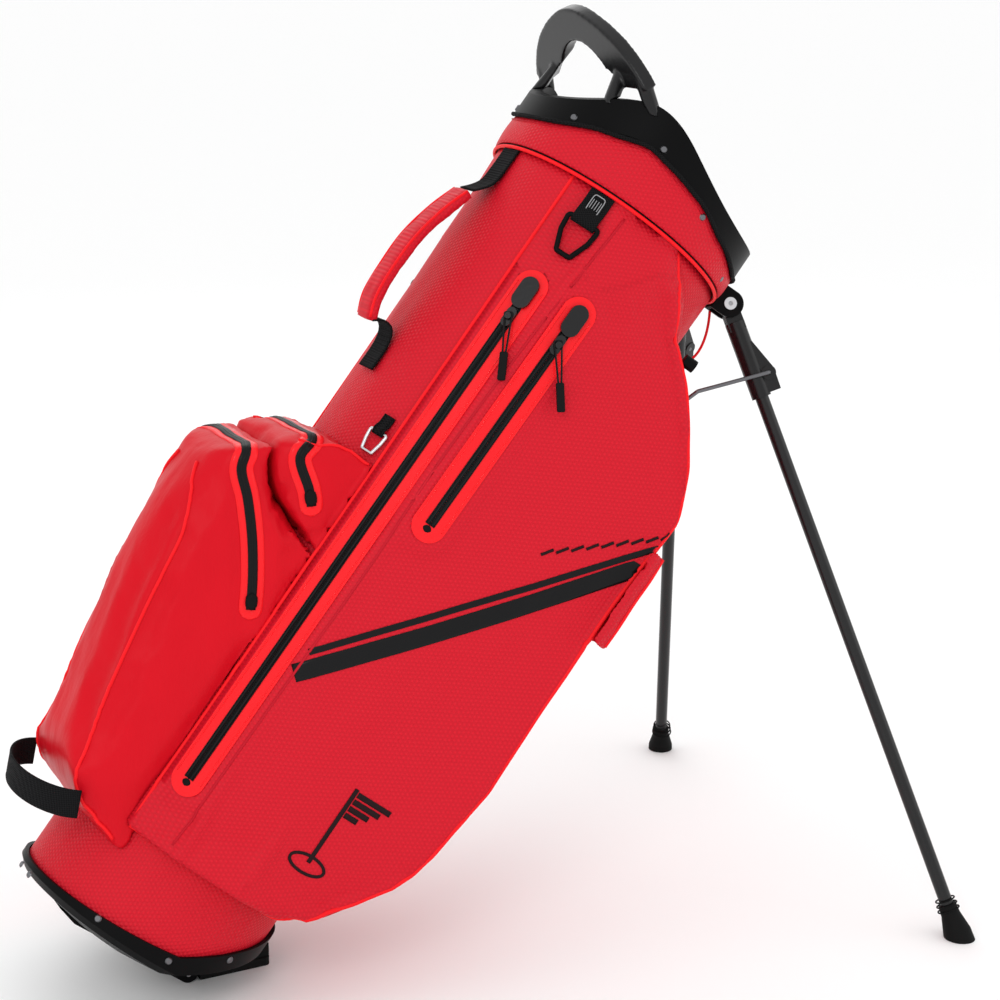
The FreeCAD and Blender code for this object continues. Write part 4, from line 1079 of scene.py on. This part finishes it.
def leg_details():
    """Raised rings round the rubber feet."""
    for side, tag in SIDES:
        body = "leg_" + tag
        low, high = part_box("leg_foot_" + tag)
        top = Vector(bag(135, side * 45, 808.5))
        end = Vector(((low.x + high.x) / 2, (low.y + high.y) / 2, 0.004))
        run = (end - top).normalized()
        side_way = run.cross(Vector((0, 0, 1))).normalized()
        other = run.cross(side_way)
        length = (end - top).length
        for k, back in enumerate((0.034, 0.029, 0.024)):
            middle = top + run * (length - back)
            radius = 0.0092 + (0.034 - back) * 0.12
            path = []
            for i in range(33):
                a = 2 * math.pi * i / 32
                path.append(middle + (side_way * math.cos(a) + other * math.sin(a)) * radius)
            tube("foot_rib_%s_%d" % (tag, k), path, 0.0008, "rubber", body, sides=6)


# ---------------------------------------------------------------- studio

def studio():
    """Floor, soft light and the camera."""
    floor = bpy.data.meshes.new("floor")
    floor.from_pydata([(-40, -40, -0.0002), (40, -40, -0.0002), (40, 40, -0.0002), (-40, 40, -0.0002)], [],
                      [(0, 1, 2, 3)])
    thing = bpy.data.objects.new("floor", floor)
    bpy.context.scene.collection.objects.link(thing)
    pale = bpy.data.materials.new("floor_paint")
    pale.use_nodes = True
    pale.node_tree.nodes["Principled BSDF"].inputs["Base Color"].default_value = (0.96, 0.96, 0.96, 1)
    pale.node_tree.nodes["Principled BSDF"].inputs["Roughness"].default_value = 0.7
    floor.materials.append(pale)
    world = bpy.data.worlds.new("studio")
    world.use_nodes = True
    world.node_tree.nodes["Background"].inputs[0].default_value = (1, 1, 1, 1)
    world.node_tree.nodes["Background"].inputs[1].default_value = 1.02
    bpy.context.scene.world = world
    for name, place, size, power in (("key", (-1.6, -2.2, 2.2), 1.2, 20),
                                     ("fill", (2.4, -1.6, 1.2), 1.6, 5),
                                     ("back", (0.6, 2.2, 2.2), 1.6, 8)):
        light = bpy.data.lights.new(name, "AREA")
        light.size = size
        light.energy = power
        lamp = bpy.data.objects.new(name, light)
        bpy.context.scene.collection.objects.link(lamp)
        lamp.location = place
        aim = Vector((0.2, 0, 0.4)) - Vector(place)
        lamp.rotation_euler = aim.to_track_quat("-Z", "Y").to_euler()
    camera = bpy.data.cameras.new("camera")
    camera.lens = 79.2
    camera.sensor_width = 36
    eye = bpy.data.objects.new("camera", camera)
    bpy.context.scene.collection.objects.link(eye)
    eye.location = (-0.6213, -1.7952, 0.9505)
    aim = Vector((math.sin(LOOK_AZIMUTH) * math.cos(LOOK_ELEVATION),
                  math.cos(LOOK_AZIMUTH) * math.cos(LOOK_ELEVATION), -math.sin(LOOK_ELEVATION)))
    eye.rotation_euler = aim.to_track_quat("-Z", "Y").to_euler()
    bpy.context.scene.camera = eye
    bpy.context.scene.view_settings.view_transform = "Standard"


paint_frame()
tube_skin()
collar_skin()
near_tree = side_pocket(NEAR, "near")
side_pocket(FAR, "far")
front_pockets()
hip_pads()
carry_grip()
webbing_parts()
spine()
side_zips()
rounded_copies()
elastic()
emblem(near_tree)
leg_details()
studio()
